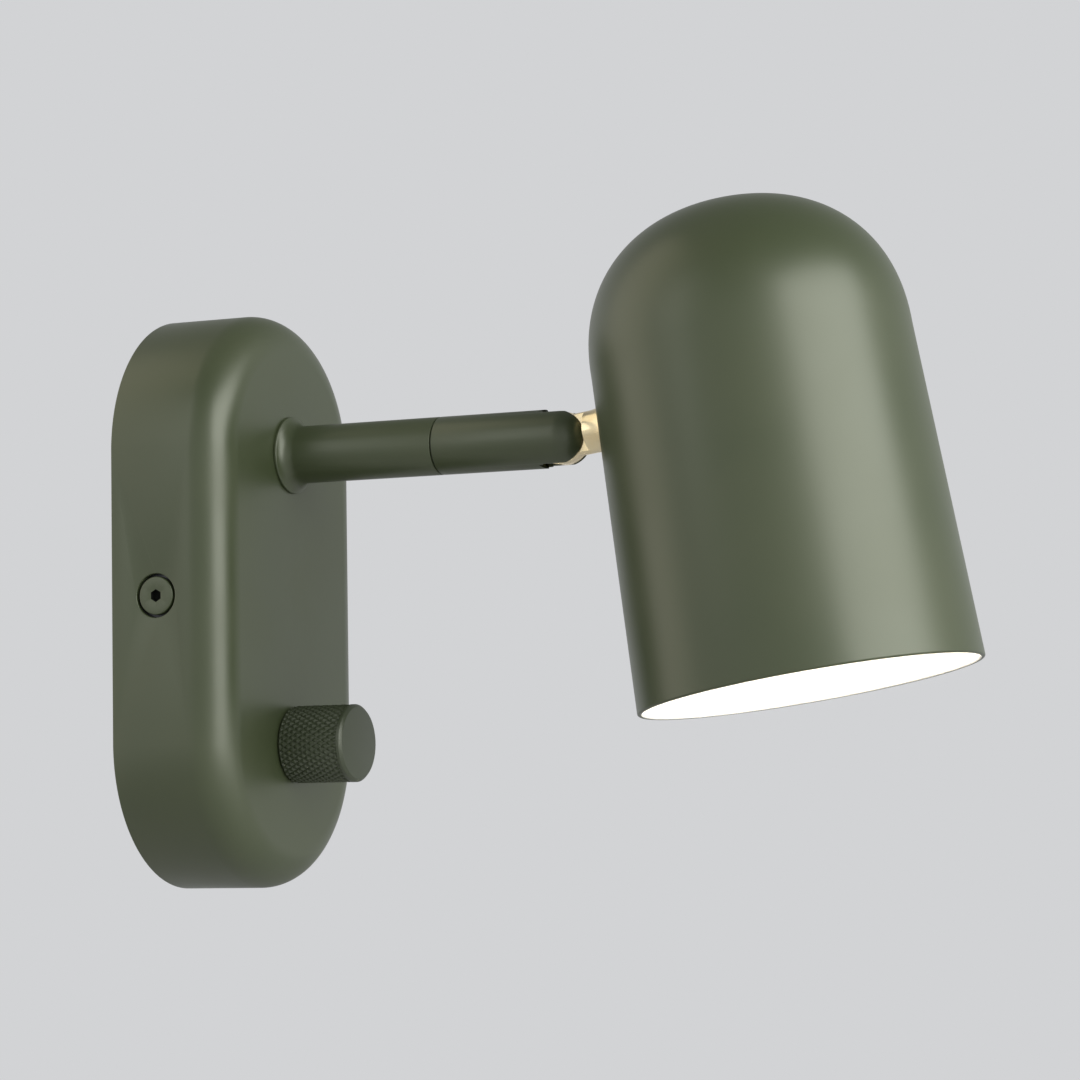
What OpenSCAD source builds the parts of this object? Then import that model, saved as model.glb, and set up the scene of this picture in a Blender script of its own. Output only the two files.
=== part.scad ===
// Bedside wall reading lamp: an obround wall cover, a swivelling arm with a tilting head,
// a bell shade over a golf-ball lamp, and a knurled dimmer knob.
// Millimetres. The origin is the middle of the wall face, +Z is up and the lamp stands out to -Y.

/* [Wall cover] */
// Width of the wall cover
cover_w = 80.4; // [70:0.2:95]
// Height of the wall cover
cover_h = 160; // [150:1:185]
// Depth of the wall cover from the wall to its front face
cover_d = 34.4; // [32:0.2:45]
// Radius of the rounding along the front edge
cover_round = 10.7; // [4:0.1:13]
// Thickness of the side wall
cover_wall = 2; // [1.5:0.1:2.6]
// Thickness of the front wall
cover_front = 2.4; // [1.8:0.1:3]

/* [Cover screws] */
// Distance of the side screws from the wall
side_screw_out = 13.9; // [10:0.1:15]
// Diameter of the flat screw heads
side_head_d = 10.4; // [8:0.1:13]
// Width of the dark ring between a head and its hole
side_head_ring = 0.8; // [0.3:0.1:1]
// Diameter of the screw shanks
side_screw_d = 4; // [3:0.5:5]
// Width across flats of the hexagon socket in each head
side_socket = 3; // [2:0.5:4]
// Depth of the sockets
side_socket_deep = 1.4; // [0.8:0.1:1.6]

/* [Mounting plate] */
// Thickness of the steel mounting plate and its two lugs
plate_t = 2; // [1.5:0.1:2.5]
// Gap between the edge of the plate and the cover all round
plate_inset = 3.2; // [2.8:0.1:6]
// Reach of the lugs from the wall
lug_out = 20; // [18:0.5:24]
// Width of the lugs
lug_w = 18; // [14:0.5:24]
// Gap between the lugs and the inside of the cover
lug_gap = 0.2; // [0.1:0.05:0.3]
// Diameter of the two wall screw holes
wall_hole_d = 5.4; // [4.5:0.1:6]
// Distance between the two wall screw holes
wall_hole_pitch = 120; // [100:1:124]
// Diameter of the cable entry hole in the plate
entry_hole_d = 20; // [16:0.5:22]
// Diameter of the opening in the rubber grommet
entry_d = 10; // [8:0.5:12]
// Height of the cable entry from the middle
entry_up = -4; // [-6:0.5:-2]

/* [Arm] */
// Height of the arm above the middle, where the upper end of the cover is rounded about
arm_up = 40.4; // [36:0.2:46]
// Diameter of the arm
arm_d = 16; // [15.4:0.1:17]
// Diameter of the flared foot against the cover
foot_d = 21.5; // [20:0.5:26]
// Height of the foot's straight rim
foot_rim = 0.8; // [0.4:0.1:1.5]
// Length over which the foot runs out into the arm
foot_run = 4; // [3:0.2:6]
// Distance of the swivel joint from the wall
swivel_out = 81.5; // [78:0.5:86]
// Width of the dark line round the arm at the swivel
swivel_line = 0.4; // [0.3:0.05:0.6]
// Distance of the tilt pin from the wall
pin_out = 117.8; // [115:0.2:130]
// Half the height between the flats at the arm's end
flat_half = 7; // [6.4:0.1:7.4]
// Distance of the shoulder of the flats behind the tilt pin
flat_back = 4.5; // [4:0.1:6]
// Swivel travel to each side
swivel_reach = 160; // [90:5:160]

/* [Tilt joint] */
// Thickness of the brass tongue
tongue_t = 5.4; // [5:0.1:5.8]
// Radius of the tongue's eye
eye_r = 7.2; // [6.6:0.1:7.4]
// Diameter of the tilt screw
pin_d = 4; // [3:0.1:4.4]
// Thickness of the fibre washers on each side of the tongue
side_washer_t = 0.45; // [0.3:0.05:0.6]
// Diameter of the fibre washers
side_washer_d = 10; // [8:0.5:12]
// Distance from the tilt pin to the outside of the shade along the tongue
tongue_reach = 14.55; // [14:0.05:18]
// Radius of the waist where the tongue's neck is thinnest
waist_r = 5.8; // [5.2:0.1:6.2]
// Distance of the waist from the tilt pin
waist_at = 8.6; // [8.4:0.1:9.6]
// Radius of the hollow curve from the waist out to the shade
flare_r = 16.6; // [13:0.2:20]
// Radius of the neck against the shade
collar_r = 6.9; // [6.6:0.1:7.4]

/* [Shade] */
// Outer radius of the shade at its opening
shade_r = 45.96; // [40:0.2:56]
// Total height of the shade
shade_h = 131.2; // [128:0.5:160]
// Height of the dome at the top
dome_h = 41.3; // [38:0.5:46]
// How squarely the dome turns in, where 2 is a true ellipse
dome_power = 2.24; // [2:0.02:2.6]
// Angle by which the side leans in
shade_taper = 1.92; // [0.5:0.1:4]
// Thickness of the shade
shade_wall = 1.4; // [1:0.1:2]
// Height of the tongue joint above the opening, measured along the shade
joint_up = 79.4; // [74:0.2:81]
// Lean of the shade away from the wall at rest
head_tilt = 9.4; // [0:0.2:15]

/* [Lamp holder] */
// Width of the steel bracket inside the shade
bracket_w = 14; // [13:0.5:16]
// Thickness of the bracket
bracket_t = 1.5; // [1:0.1:2]
// Height of the bracket's top leg above the opening
bracket_up = 106; // [105:0.5:110]
// Outer diameter of the holder body
holder_d = 27; // [25:0.5:29]
// Height of the holder cap
holder_cap_h = 10.8; // [10:0.2:13]
// Height of the holder body
holder_body_h = 24.2; // [23:0.2:27]
// Length of the lamp from its globe to its contact
lamp_len = 76; // [72:1:80]
// Diameter of the globe
globe_d = 45; // [40:1:48]
// Radius of the lamp's screw base
base_r = 6.95; // [6.5:0.05:7]
// Length of the threaded part of the base
base_len = 18; // [16:0.5:19]
// Pitch of the base thread
base_pitch = 2.82; // [2.5:0.02:3]

/* [Dimmer] */
// Distance of the knob below the middle
knob_down = 40.4; // [36:0.2:44]
// Diameter of the knob
knob_d = 21.5; // [20:0.5:26]
// Length of the knob
knob_len = 19.6; // [16:0.2:26]
// Gap between the knob and the cover
knob_gap = 0.5; // [0.3:0.1:1]
// Chamfer round the front of the knob
knob_chamfer = 1; // [0.4:0.1:1.5]
// Diameter of the dimmer shaft
shaft_d = 6; // [5:0.5:6]
// Diameter of the threaded bush round the shaft
bush_d = 9; // [8.4:0.1:9.4]
// Width of the dimmer case
case_w = 36; // [32:1:40]
// Height of the dimmer case
case_h = 42; // [40:1:44]
// Depth of the dimmer case
case_d = 17; // [16:0.5:18]
// Wall of the dimmer case
case_wall = 1.5; // [1:0.1:2]

/* [Wiring] */
// Diameter of the cable in the arm
arm_cable_d = 5.2; // [4.6:0.1:5.4]
// Diameter of the cable in the head
head_cable_d = 3; // [2.6:0.1:3.2]
// Diameter of the single leads
lead_d = 2; // [1.6:0.1:2.1]
// Distance between the poles of the terminal block
pole_pitch = 9; // [8.4:0.1:9.5]
// Height of the terminal block above the middle
block_up = 22; // [20:0.5:23]

/* [Clearances] */
// Radial gap of a turning or sliding fit
run_gap = 0.05; // [0.02:0.01:0.1]
// Radial gap of a thread or a pressed fit
thread_gap = 0.05; // [0.02:0.01:0.1]
// Gap between flat faces that turn against each other
face_gap = 0.05; // [0.03:0.01:0.1]
// Gap where a piece only passes another
pass_gap = 0.3; // [0.2:0.05:0.5]

/* [Hidden] */
$fn = 72;

// Thin cut that lets one solid run out through the face of another
cut = 1;
// Paint and metals
olive = [0.33, 0.36, 0.28];
steel = [0.72, 0.72, 0.7];
brass = [0.87, 0.74, 0.45];
white = [0.95, 0.95, 0.93];
black = [0.12, 0.12, 0.13];
brown = [0.5, 0.32, 0.2];
blue = [0.15, 0.35, 0.65];
green = [0.45, 0.62, 0.2];
copper = [0.75, 0.45, 0.25];

// Wall cover
cover_in_w = cover_w - 2 * cover_wall;
cover_in_front = cover_d - cover_front;
side_hole_d = side_head_d + 2 * side_head_ring;
lug_x = cover_in_w / 2 - lug_gap;
side_head_sunk = 0.1;
side_head_t = cover_w / 2 - lug_x - side_head_sunk;
lug_boss_wall = 2;
lug_boss_d = side_screw_d + 2 * lug_boss_wall;
side_screw_proud = 1.5;
lug_boss_t = 3.5;
side_screw_len = plate_t + lug_boss_t + side_screw_proud;
bend_r = 3;
grommet_rim_t = 1.5;
grommet_lip = 2;
earth_screw_d = 4;
earth_head_d = 7;
earth_head_t = 2.6;
block_screw_d = 3;
block_head_d = 5.6;
block_head_t = 2.4;
wall_air = 0.2;
driver_slot_w = 0.8;
driver_slot_deep = 1;

// Arm, in distances from the wall
foot_end = swivel_out - swivel_line / 2;
tip_start = swivel_out + swivel_line / 2;
foot_step = (foot_d - arm_d) / 2;
foot_curve_r = foot_step / 2 + foot_run * foot_run / (2 * foot_step);
nipple_d = 10;
nipple_room = 0.4;
nipple_bore_d = arm_cable_d + 2 * nipple_room;
nipple_seat = 8.3;
spindle_d = 12;
spindle_grip = 19;
tilt_reach = 80;
neck_edge_up = (arm_d / 2 - waist_r * cos(tilt_reach)) / sin(tilt_reach);
slot_room = 0.1;
slot_r = max(arm_d / 2, norm([neck_edge_up, waist_r])) + slot_room;
spindle_share = 0.585;
spindle_journal = spindle_share * (pin_out - slot_r - swivel_out);
spindle_room = 0.6;
spindle_bore_d = arm_cable_d + 2 * spindle_room;
groove_share = 0.515;
groove_at = swivel_out + groove_share * spindle_journal;
groove_w = 2.4;
groove_deep = 1.4;
grub_d = 3;
grub_socket = 1.5;
grub_socket_deep = 0.9;
dog_d = 1.8;
dog_half_angle = asin(dog_d / 2 / (spindle_d / 2 - groove_deep));
stop_ease = 1;
stop_half_angle = 180 - swivel_reach - dog_half_angle - stop_ease;
arm_washer_t = 1;
arm_washer_d = 18;
arm_nut_t = 3.5;
nut_af = 14;
nipple_proud = 3.5;
nipple_in = arm_washer_t + arm_nut_t + nipple_proud;
swivel_washer_inset = 0.6;
arm_cable_stop = 4;

// Tilt joint, in distances from the tilt pin
slot_w = tongue_t + 2 * side_washer_t + 2 * face_gap;
ball_room = 0.35;
ball_clear = arm_d / 2 + ball_room;
screw_head_d = 7;
screw_head_t = 1.8;
screw_socket = 2.5;
screw_socket_deep = 1.4;
ear_under_head = 2;
screw_head_seat = slot_w / 2 + ear_under_head;
screw_bite = 3;
screw_end = slot_w / 2 + screw_bite;
boss_wall = 1.2;
boss_r = pin_d / 2 + boss_wall;
eye_wall = 1.6;
wire_way_r = eye_r - eye_wall;
wire_way_w = 3.8;
tongue_room = 0.4;
tongue_bore_d = head_cable_d + 2 * tongue_room;
tongue_thread_d = 10;
tongue_tilt = head_tilt - shade_taper;

// Shade, with the tongue square to its side
cone_h = shade_h - dome_h;
dome_r = shade_r - cone_h * tan(shade_taper);
joint_r = shade_r - joint_up * tan(shade_taper);
pin_r = joint_r + tongue_reach * cos(shade_taper);
pin_up = joint_up + tongue_reach * sin(shade_taper);
dome_steps = 18;

// Half the room across the dome at a height, for a strip as wide as the bracket
function dome_inner_r(up) = let (
    rise = min(max(up - cone_h, 0) / (dome_h - shade_wall), 1),
    r = (dome_r - shade_wall) * pow(1 - pow(rise, dome_power), 1 / dome_power)
) sqrt(max(r * r - bracket_w * bracket_w / 4, 0));

// Inside the shade
inner_joint_r = joint_r - shade_wall;
leg_sag = inner_joint_r - sqrt(inner_joint_r * inner_joint_r - bracket_w * bracket_w / 4);
leg_room = 0.15;
leg_at = tongue_reach + shade_wall + leg_sag + leg_room;
tongue_nut_t = 3;
tongue_nut_af = 13;
tongue_proud = 1;
tongue_end = leg_at + bracket_t + tongue_nut_t + tongue_proud;
leg_foot = 8;
leg_bend_rise = 12.6;
leg_bend_up = joint_up + leg_bend_rise;
leg_bend_room = 6.8;
leg_bend_in = dome_inner_r(bracket_up + bracket_t) - leg_bend_room;
holder_nut_t = 3;
holder_thread_d = 10;
holder_bore_d = 6.4;
holder_grip = 8;
holder_nipple_proud = 2;
holder_step = 1.5;
holder_room = 4;
holder_room_deep = 2;
holder_lip = 0.8;
holder_lip_h = 2;
cap_inset = 1;
shell_inset = 1;
rivet_d = 2.4;
rivet_head_t = 0.8;
contact_l = 12;
contact_w = 4;
contact_t = 0.5;
cap_low = bracket_up - holder_cap_h;
body_low = cap_low - holder_body_h;
holder_roof = 1.3;
contact_gap = 0.9;
lamp_top = cap_low - holder_roof - contact_gap;
lamp_low = lamp_top - lamp_len;
base_low = body_low - pass_gap;
base_high = base_low + base_len;
globe_up = lamp_low + globe_d / 2;
globe_rise = 11.5;
globe_join_up = globe_up + globe_rise;
globe_join_r = sqrt(globe_d * globe_d / 4 - globe_rise * globe_rise);
globe_wall = 1;
shell_wall = 0.6;
neck_r = 9.5;
neck_rim = 2;
thread_deep = 0.8;
lamp_tip_r = 2.4;
lamp_tip_edge = 0.4;
lamp_tip_h = 1;
insulator_r = 3.2;

// Dimmer, in distances from the wall
case_front = cover_in_front;
case_back = case_front - case_d;
lid_t = 1.5;
board_t = 1.6;
board_w = case_w - 2 * (case_wall + pass_gap);
board_h = case_h - 2 * (case_wall + pass_gap);
lid_rib = 1;
knob_back_edge = 0.4;
knob_grub_len = 6;
knob_socket_deep = 1.2;
control_d = 17;
control_t = 8.5;
stack_gap = 0.1;
control_front = case_front - case_wall - stack_gap;
board_front = control_front - control_t - stack_gap;
dimmer_washer_t = 0.6;
dimmer_washer_d = 13;
dimmer_nut_t = 2.4;
dimmer_nut_af = 12;
bush_proud = 1;
bush_end = cover_d + dimmer_washer_t + dimmer_nut_t + bush_proud;
knob_back = cover_d + knob_gap;
knob_recess_d = 17;
recess_room = 1.5;
knob_recess = bush_end - knob_back + recess_room;
knob_face_t = 4;
shaft_end = knob_back + knob_len - knob_face_t;
shaft_in = 6;
shaft_start = control_front - shaft_in;
shaft_flat_deep = 0.6;
shaft_flat = shaft_d / 2 - shaft_flat_deep;
knob_grub_up = 5;
knob_grub_out = knob_back + knob_recess + knob_grub_up;
shaft_round = 1;
live_hole_x = 4;
dimmed_hole_in = 5;
dimmed_hole_x = case_w / 2 - dimmed_hole_in;
lead_hole_out = board_front + lead_d / 2 + pass_gap;

// Pieces on the dimmer's board: a choke, a film capacitor, a power switch and a round capacitor
board_edge = 0.5;
board_side = 0.7;
choke_d = 9;
choke_bore_d = 4;
choke_h = 5;
choke_in = 7.2;
choke_at = [board_w / 2 - choke_in, board_edge + choke_d / 2 - board_h / 2, 0];
film_cap_w = 12;
film_cap_l = 7;
film_cap_h = 7;
film_cap_at = [board_side - board_w / 2, board_edge - board_h / 2, 0];
switch_w = 5;
switch_l = 8;
switch_h = 4.6;
switch_in = 1.6;
switch_at = [board_side - board_w / 2, board_h / 2 - switch_l - switch_in, 0];
round_cap_d = 6;
round_cap_h = 7;
round_cap_in = [4, 7.7];
round_cap_at = [board_w / 2 - round_cap_in.x, board_h / 2 - round_cap_in.y, 0];

// Terminal block
pole_groove = 1.8;
pole_w = pole_pitch - pole_groove;
block_len = 17;
block_t = 13;
block_high = plate_t + block_t;
block_foot_t = 4;
block_ear = 17;
block_edge = 4;
block_half = block_ear + block_edge;
sleeve_up = 6;
sleeve_out = plate_t + sleeve_up;
sleeve_d = 4.2;
sleeve_bore_d = 2.9;
sleeve_inset = 1;
clamp_d = 3;
clamp_spread = 4.5;
clamp_room = 0.4;
clamp_slot_w = 0.6;
clamp_slot_deep = 0.9;
clamp_sunk = 0.6;
clamp_top = block_high - clamp_sunk;
clamp_tip_gap = 0.1;
clamp_tip = sleeve_out + lead_d / 2 + clamp_tip_gap;
block_low = block_up - block_len / 2;
block_top = block_up + block_len / 2;
lead_grip = 2;
earth_x = -24;
earth_y = -6;
tag_t = 0.8;
tag_d = 8;
tag_barrel_room = 0.2;
tag_barrel_wall = 0.7;
tag_barrel_d = lead_d + 2 * (tag_barrel_room + tag_barrel_wall);
tag_barrel_up = tag_barrel_d / 2 + face_gap;
tag_neck_len = 1;
tag_barrel_at = tag_d / 2 + tag_neck_len;
tag_barrel_len = 4.5;
tag_neck_w = 3.2;
tag_neck_in = 0.5;
tag_grip = 3;

// Lead ends where they meet the cable in the arm
core_spread = 1.5;
core_turn = 60;
core_straight = 4;
cable_proud = 2;
cable_in = cover_in_front - nipple_in - cable_proud;
core_end = cable_in - pass_gap;

// Wall frame: x to the right, y up, z away from the wall
module from_wall(out = 0) rotate([90, 0, 0]) translate([0, 0, out]) children();
// On the arm's line, z along the arm
module at_arm(out = 0) from_wall(out) translate([0, arm_up, 0]) children();
// On the knob's line, z along the shaft
module at_knob(out = 0) from_wall(out) translate([0, -knob_down, 0]) children();
// At the tilt pin, z along the tongue towards the shade
module at_pin() at_arm(pin_out) rotate([-tongue_tilt, 0, 0]) children();
// In the shade: z up its axis from the opening, y towards the wall
module in_shade() translate([0, -pin_out, arm_up]) rotate([-head_tilt, 0, 0])
    translate([0, -pin_r, -pin_up]) children();

module tube(outer, inner, h) difference() {
    cylinder(d = outer, h = h);
    translate([0, 0, -cut]) cylinder(d = inner, h = h + 2 * cut);
}

module hex_bar(af, h) cylinder(d = af / cos(30), h = h, $fn = 6);

module hex_nut(af, bore, h) difference() {
    hex_bar(af, h);
    translate([0, 0, -cut]) cylinder(d = bore, h = h + 2 * cut);
}

// Half section of a round disc whose top edge is rounded
module rounded_section(r, h, edge) difference() {
    square([r, h]);
    translate([r - edge, h - edge]) difference() {
        square([edge + cut, edge + cut]);
        circle(r = edge);
    }
}

// Obround block, flat below and rounded along its upper edge
module rounded_obround(w, h, d, edge) {
    for (turn = [0, 180]) rotate([0, 0, turn]) translate([0, (h - w) / 2, 0])
        rotate_extrude(angle = 180) rounded_section(w / 2, d, edge);
    rotate([90, 0, 0]) linear_extrude(h - w, center = true) {
        rounded_section(w / 2, d, edge);
        mirror([1, 0]) rounded_section(w / 2, d, edge);
    }
}

module obround(w, h, t) {
    for (turn = [0, 180]) rotate([0, 0, turn]) translate([0, (h - w) / 2, 0])
        rotate_extrude(angle = 180) square([w / 2, t]);
    translate([-w / 2, -(h - w) / 2, 0]) cube([w, h - w, t]);
}

// Outline of a bent strip: a line of points thickened to its left
function left_of(a, b) = [a.y - b.y, b.x - a.x] / norm(b - a);
function side_normal(p, i) =
    i == 0 ? left_of(p[0], p[1]) :
    i == len(p) - 1 ? left_of(p[i - 1], p[i]) :
    let (a = left_of(p[i - 1], p[i]), b = left_of(p[i], p[i + 1])) (a + b) / (1 + a * b);
module bent_strip(p, t) polygon(concat(
    p,
    [for (i = [len(p) - 1 : -1 : 0]) p[i] + t * side_normal(p, i)]
));

// Smooth curve through points, with so many steps from each point to the next
function spline_point(a, b, c, d, t) = 0.5 * (
    2 * b + (c - a) * t + (2 * a - 5 * b + 4 * c - d) * t * t
    + (3 * b - a - 3 * c + d) * t * t * t
);
function smooth_path(p, steps) = concat([for (i = [0 : len(p) - 2], s = [0 : steps - 1])
    spline_point(p[max(i - 1, 0)], p[i], p[i + 1], p[min(i + 2, len(p) - 1)], s / steps)],
    [p[len(p) - 1]]);

// Tube swept along a path, eight-sided, with its rings carried on without twist
sweep_sides = 8;
function unit(v) = v / norm(v);
function heading(p, i) = unit(p[min(i + 1, len(p) - 1)] - p[max(i - 1, 0)]);
function square_to(n, t) = unit(n - t * (n * t));
function carried(p, i) = i == 0
    ? square_to(abs(heading(p, 0).x) < 0.9 ? [1, 0, 0] : [0, 1, 0], heading(p, 0))
    : square_to(carried(p, i - 1), heading(p, i));
function ring(p, i, r) = let (t = heading(p, i), n = carried(p, i), b = cross(t, n))
    [for (k = [0 : sweep_sides - 1])
        p[i] + r * (cos(360 * k / sweep_sides) * n + sin(360 * k / sweep_sides) * b)];
module sweep(p, d) {
    n = len(p);
    s = sweep_sides;
    points = [for (i = [0 : n - 1]) each ring(p, i, d / 2)];
    sides = [for (i = [0 : n - 2], k = [0 : s - 1]) let (a = i * s + k, b = i * s + (k + 1) % s)
        each [[a, a + s, b], [b, a + s, b + s]]];
    near_end = [for (k = [1 : s - 2]) [0, k, k + 1]];
    far_end = [for (k = [1 : s - 2]) [(n - 1) * s, (n - 1) * s + k + 1, (n - 1) * s + k]];
    polyhedron(points, concat(sides, near_end, far_end));
}

// Steel plate on the wall, with a lug at each side that the cover is screwed to
module mounting_plate() color(steel) from_wall() difference() {
    union() {
        obround(cover_in_w - 2 * plate_inset, cover_in_w - 2 * plate_inset + cover_h - cover_w, plate_t);
        for (side = [0, 1]) mirror([side, 0, 0]) {
            translate([0, lug_w / 2, 0]) rotate([90, 0, 0]) linear_extrude(lug_w) lug_section();
            translate([lug_x - plate_t - lug_boss_t, 0, side_screw_out]) rotate([0, 90, 0])
                cylinder(d = lug_boss_d, h = lug_boss_t);
        }
    }
    translate([-cover_w / 2, 0, side_screw_out]) rotate([0, 90, 0])
        cylinder(d = side_screw_d + 2 * thread_gap, h = cover_w);
    for (y = [-1, 1] * wall_hole_pitch / 2) translate([0, y, -cut])
        cylinder(d = wall_hole_d, h = plate_t + 2 * cut);
    translate([0, entry_up, -cut]) cylinder(d = entry_hole_d, h = plate_t + 2 * cut);
    translate([earth_x, earth_y, -cut]) cylinder(d = earth_screw_d + 2 * thread_gap, h = plate_t + 2 * cut);
    for (x = [-1, 1] * block_ear) translate([x, block_up, -cut])
        cylinder(d = block_screw_d + 2 * thread_gap, h = plate_t + 2 * cut);
}

// A lug seen along its bend
module lug_section() {
    translate([lug_x - 2 * bend_r, 0]) square([bend_r, plate_t]);
    translate([lug_x - plate_t, bend_r]) square([plate_t, lug_out - bend_r]);
    translate([lug_x - bend_r, bend_r]) intersection() {
        difference() {
            circle(r = bend_r);
            circle(r = bend_r - plate_t);
        }
        translate([0, -bend_r]) square([bend_r, bend_r]);
    }
}

module entry_grommet() color(black) from_wall() translate([0, entry_up, 0]) rotate_extrude() {
    wall = (entry_hole_d - entry_d) / 2;
    translate([entry_d / 2, 0]) square([wall - thread_gap, plate_t + grommet_rim_t]);
    translate([entry_d / 2, plate_t + thread_gap]) square([wall + grommet_lip, grommet_rim_t - thread_gap]);
}

module cover() color(olive) from_wall() difference() {
    rounded_obround(cover_w, cover_h, cover_d, cover_round);
    translate([0, 0, -cut]) rounded_obround(
        cover_in_w, cover_h - 2 * cover_wall, cover_in_front + cut, cover_round - cover_wall);
    translate([0, arm_up, 0]) cylinder(d = nipple_d + 2 * pass_gap, h = cover_d + cut);
    translate([0, -knob_down, 0]) cylinder(d = bush_d + 2 * pass_gap, h = cover_d + cut);
    translate([-cover_w, 0, side_screw_out]) rotate([0, 90, 0])
        cylinder(d = side_hole_d, h = 2 * cover_w);
}

module cover_screws() color(olive) from_wall() for (side = [0, 1]) mirror([side, 0, 0])
    translate([lug_x, 0, side_screw_out]) rotate([0, 90, 0]) difference() {
        union() {
            cylinder(d = side_head_d, h = side_head_t);
            translate([0, 0, -side_screw_len]) cylinder(d = side_screw_d, h = side_screw_len);
        }
        translate([0, 0, side_head_t - side_socket_deep]) hex_bar(side_socket, side_socket_deep + cut);
    }

pole_places = [-pole_pitch, 0, pole_pitch];

module terminal_block() color(white) from_wall() difference() {
    union() {
        translate([-block_half, block_low, plate_t]) cube([2 * block_half, block_len, block_foot_t]);
        for (x = pole_places) translate([x - pole_w / 2, block_low, plate_t])
            cube([pole_w, block_len, block_high - plate_t]);
    }
    for (x = pole_places) translate([x, 0, 0]) {
        translate([0, block_top + cut, sleeve_out]) rotate([90, 0, 0])
            cylinder(d = sleeve_d + 2 * thread_gap, h = block_len + 2 * cut);
        for (y = [-1, 1] * clamp_spread) translate([0, block_up + y, sleeve_out])
            cylinder(d = clamp_d + 2 * clamp_room, h = block_high);
    }
    for (x = [-1, 1] * block_ear) translate([x, block_up, 0])
        cylinder(d = block_screw_d + 2 * pass_gap, h = block_high);
}

module terminal_sleeves() color(brass) from_wall() for (x = pole_places) difference() {
    translate([x, block_top - sleeve_inset, sleeve_out]) rotate([90, 0, 0])
        tube(sleeve_d, sleeve_bore_d, block_len - 2 * sleeve_inset);
    for (y = [-1, 1] * clamp_spread) translate([x, block_up + y, sleeve_out])
        cylinder(d = clamp_d + 2 * thread_gap, h = sleeve_d);
}

module terminal_screws() color(steel) from_wall()
    for (x = pole_places, y = [-1, 1] * clamp_spread) translate([x, block_up + y, clamp_tip])
        difference() {
            cylinder(d = clamp_d, h = clamp_top - clamp_tip);
            translate([-clamp_d, -clamp_slot_w / 2, clamp_top - clamp_tip - clamp_slot_deep])
                cube([2 * clamp_d, clamp_slot_w, clamp_slot_deep + cut]);
        }

// Pan head with a slot, its shank down to just above the wall
module pan_screw(shank_d, head_d, head_t, seat) difference() {
    union() {
        translate([0, 0, wall_air]) cylinder(d = shank_d, h = seat);
        translate([0, 0, seat]) cylinder(d = head_d, h = head_t);
    }
    translate([-head_d, -driver_slot_w / 2, seat + head_t - driver_slot_deep])
        cube([2 * head_d, driver_slot_w, driver_slot_deep + cut]);
}

module block_screws() color(steel) from_wall() for (x = [-1, 1] * block_ear)
    translate([x, block_up, 0])
        pan_screw(block_screw_d, block_head_d, block_head_t, plate_t + block_foot_t);

// Ring tag under the earth screw, with a round barrel for the lead
module earth_tag() color(brass) from_wall() translate([earth_x, earth_y, plate_t]) {
    difference() {
        union() {
            cylinder(d = tag_d, h = tag_t);
            translate([-tag_neck_w / 2, 0, 0]) cube([tag_neck_w, tag_barrel_at + tag_neck_in, tag_t]);
        }
        translate([0, 0, -cut]) cylinder(d = earth_screw_d + 2 * pass_gap, h = tag_t + 2 * cut);
    }
    translate([0, tag_barrel_at + tag_barrel_len, tag_barrel_up]) rotate([90, 0, 0])
        tube(tag_barrel_d, lead_d + 2 * tag_barrel_room, tag_barrel_len);
}

module earth_screw() color(brass) from_wall() translate([earth_x, earth_y, 0])
    pan_screw(earth_screw_d, earth_head_d, earth_head_t, plate_t + tag_t);

// Where a lead goes into a pole's lower or upper end
function pole_low(i) = [pole_places[i], block_low + lead_grip, sleeve_out];
function pole_high(i) = [pole_places[i], block_top - lead_grip, sleeve_out];
// Where a lead ends against the cable in the arm
function core_at(turn) = [core_spread * sin(turn), arm_up + core_spread * cos(turn), core_end];
function before_core(turn) = core_at(turn) - [0, 0, core_straight];
tag_mouth = [earth_x, earth_y + tag_barrel_at + tag_barrel_len - tag_grip, plate_t + tag_barrel_up];
// Where a lead passes the top wall of the dimmer case
function case_entry(x, above) = [x, case_h / 2 - knob_down + above, lead_hole_out];

earth_in_route = [tag_mouth, tag_mouth + [0, 3.5, 0], tag_mouth + [0, 6, 0.5], [-17, 9, 7],
    pole_low(0) + [0, -4, 0], pole_low(0)];
earth_out_route = [pole_high(0), pole_high(0) + [0, 4, 0.5], [-5, 40, 11], before_core(-core_turn),
    core_at(-core_turn)];
neutral_route = [pole_high(1), pole_high(1) + [0, 4, 0.5], [1, 36.5, 11], before_core(180), core_at(180)];
live_route = [pole_low(2), pole_low(2) + [0, -4.5, 0.5], [8, 0, 12], [5, -11, 19],
    case_entry(live_hole_x, 4), case_entry(live_hole_x, 1), case_entry(live_hole_x, -4)];
dimmed_route = [case_entry(dimmed_hole_x, -4), case_entry(dimmed_hole_x, 1), case_entry(dimmed_hole_x, 4),
    [18, -4, 21], [25, 8, 19], [22, 26, 16], [12, 39, 12], [5, 42.5, 11.5], before_core(core_turn),
    core_at(core_turn)];
lead_steps = 3;

module earth_leads() color(green) from_wall() {
    sweep(smooth_path(earth_in_route, lead_steps), lead_d);
    sweep(smooth_path(earth_out_route, lead_steps), lead_d);
}

module live_lead() color(brown) from_wall() sweep(smooth_path(live_route, lead_steps), lead_d);

module dimmed_lead() color(brown) from_wall() sweep(smooth_path(dimmed_route, lead_steps), lead_d);

module neutral_lead() color(blue) from_wall() sweep(smooth_path(neutral_route, lead_steps), lead_d);

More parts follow.
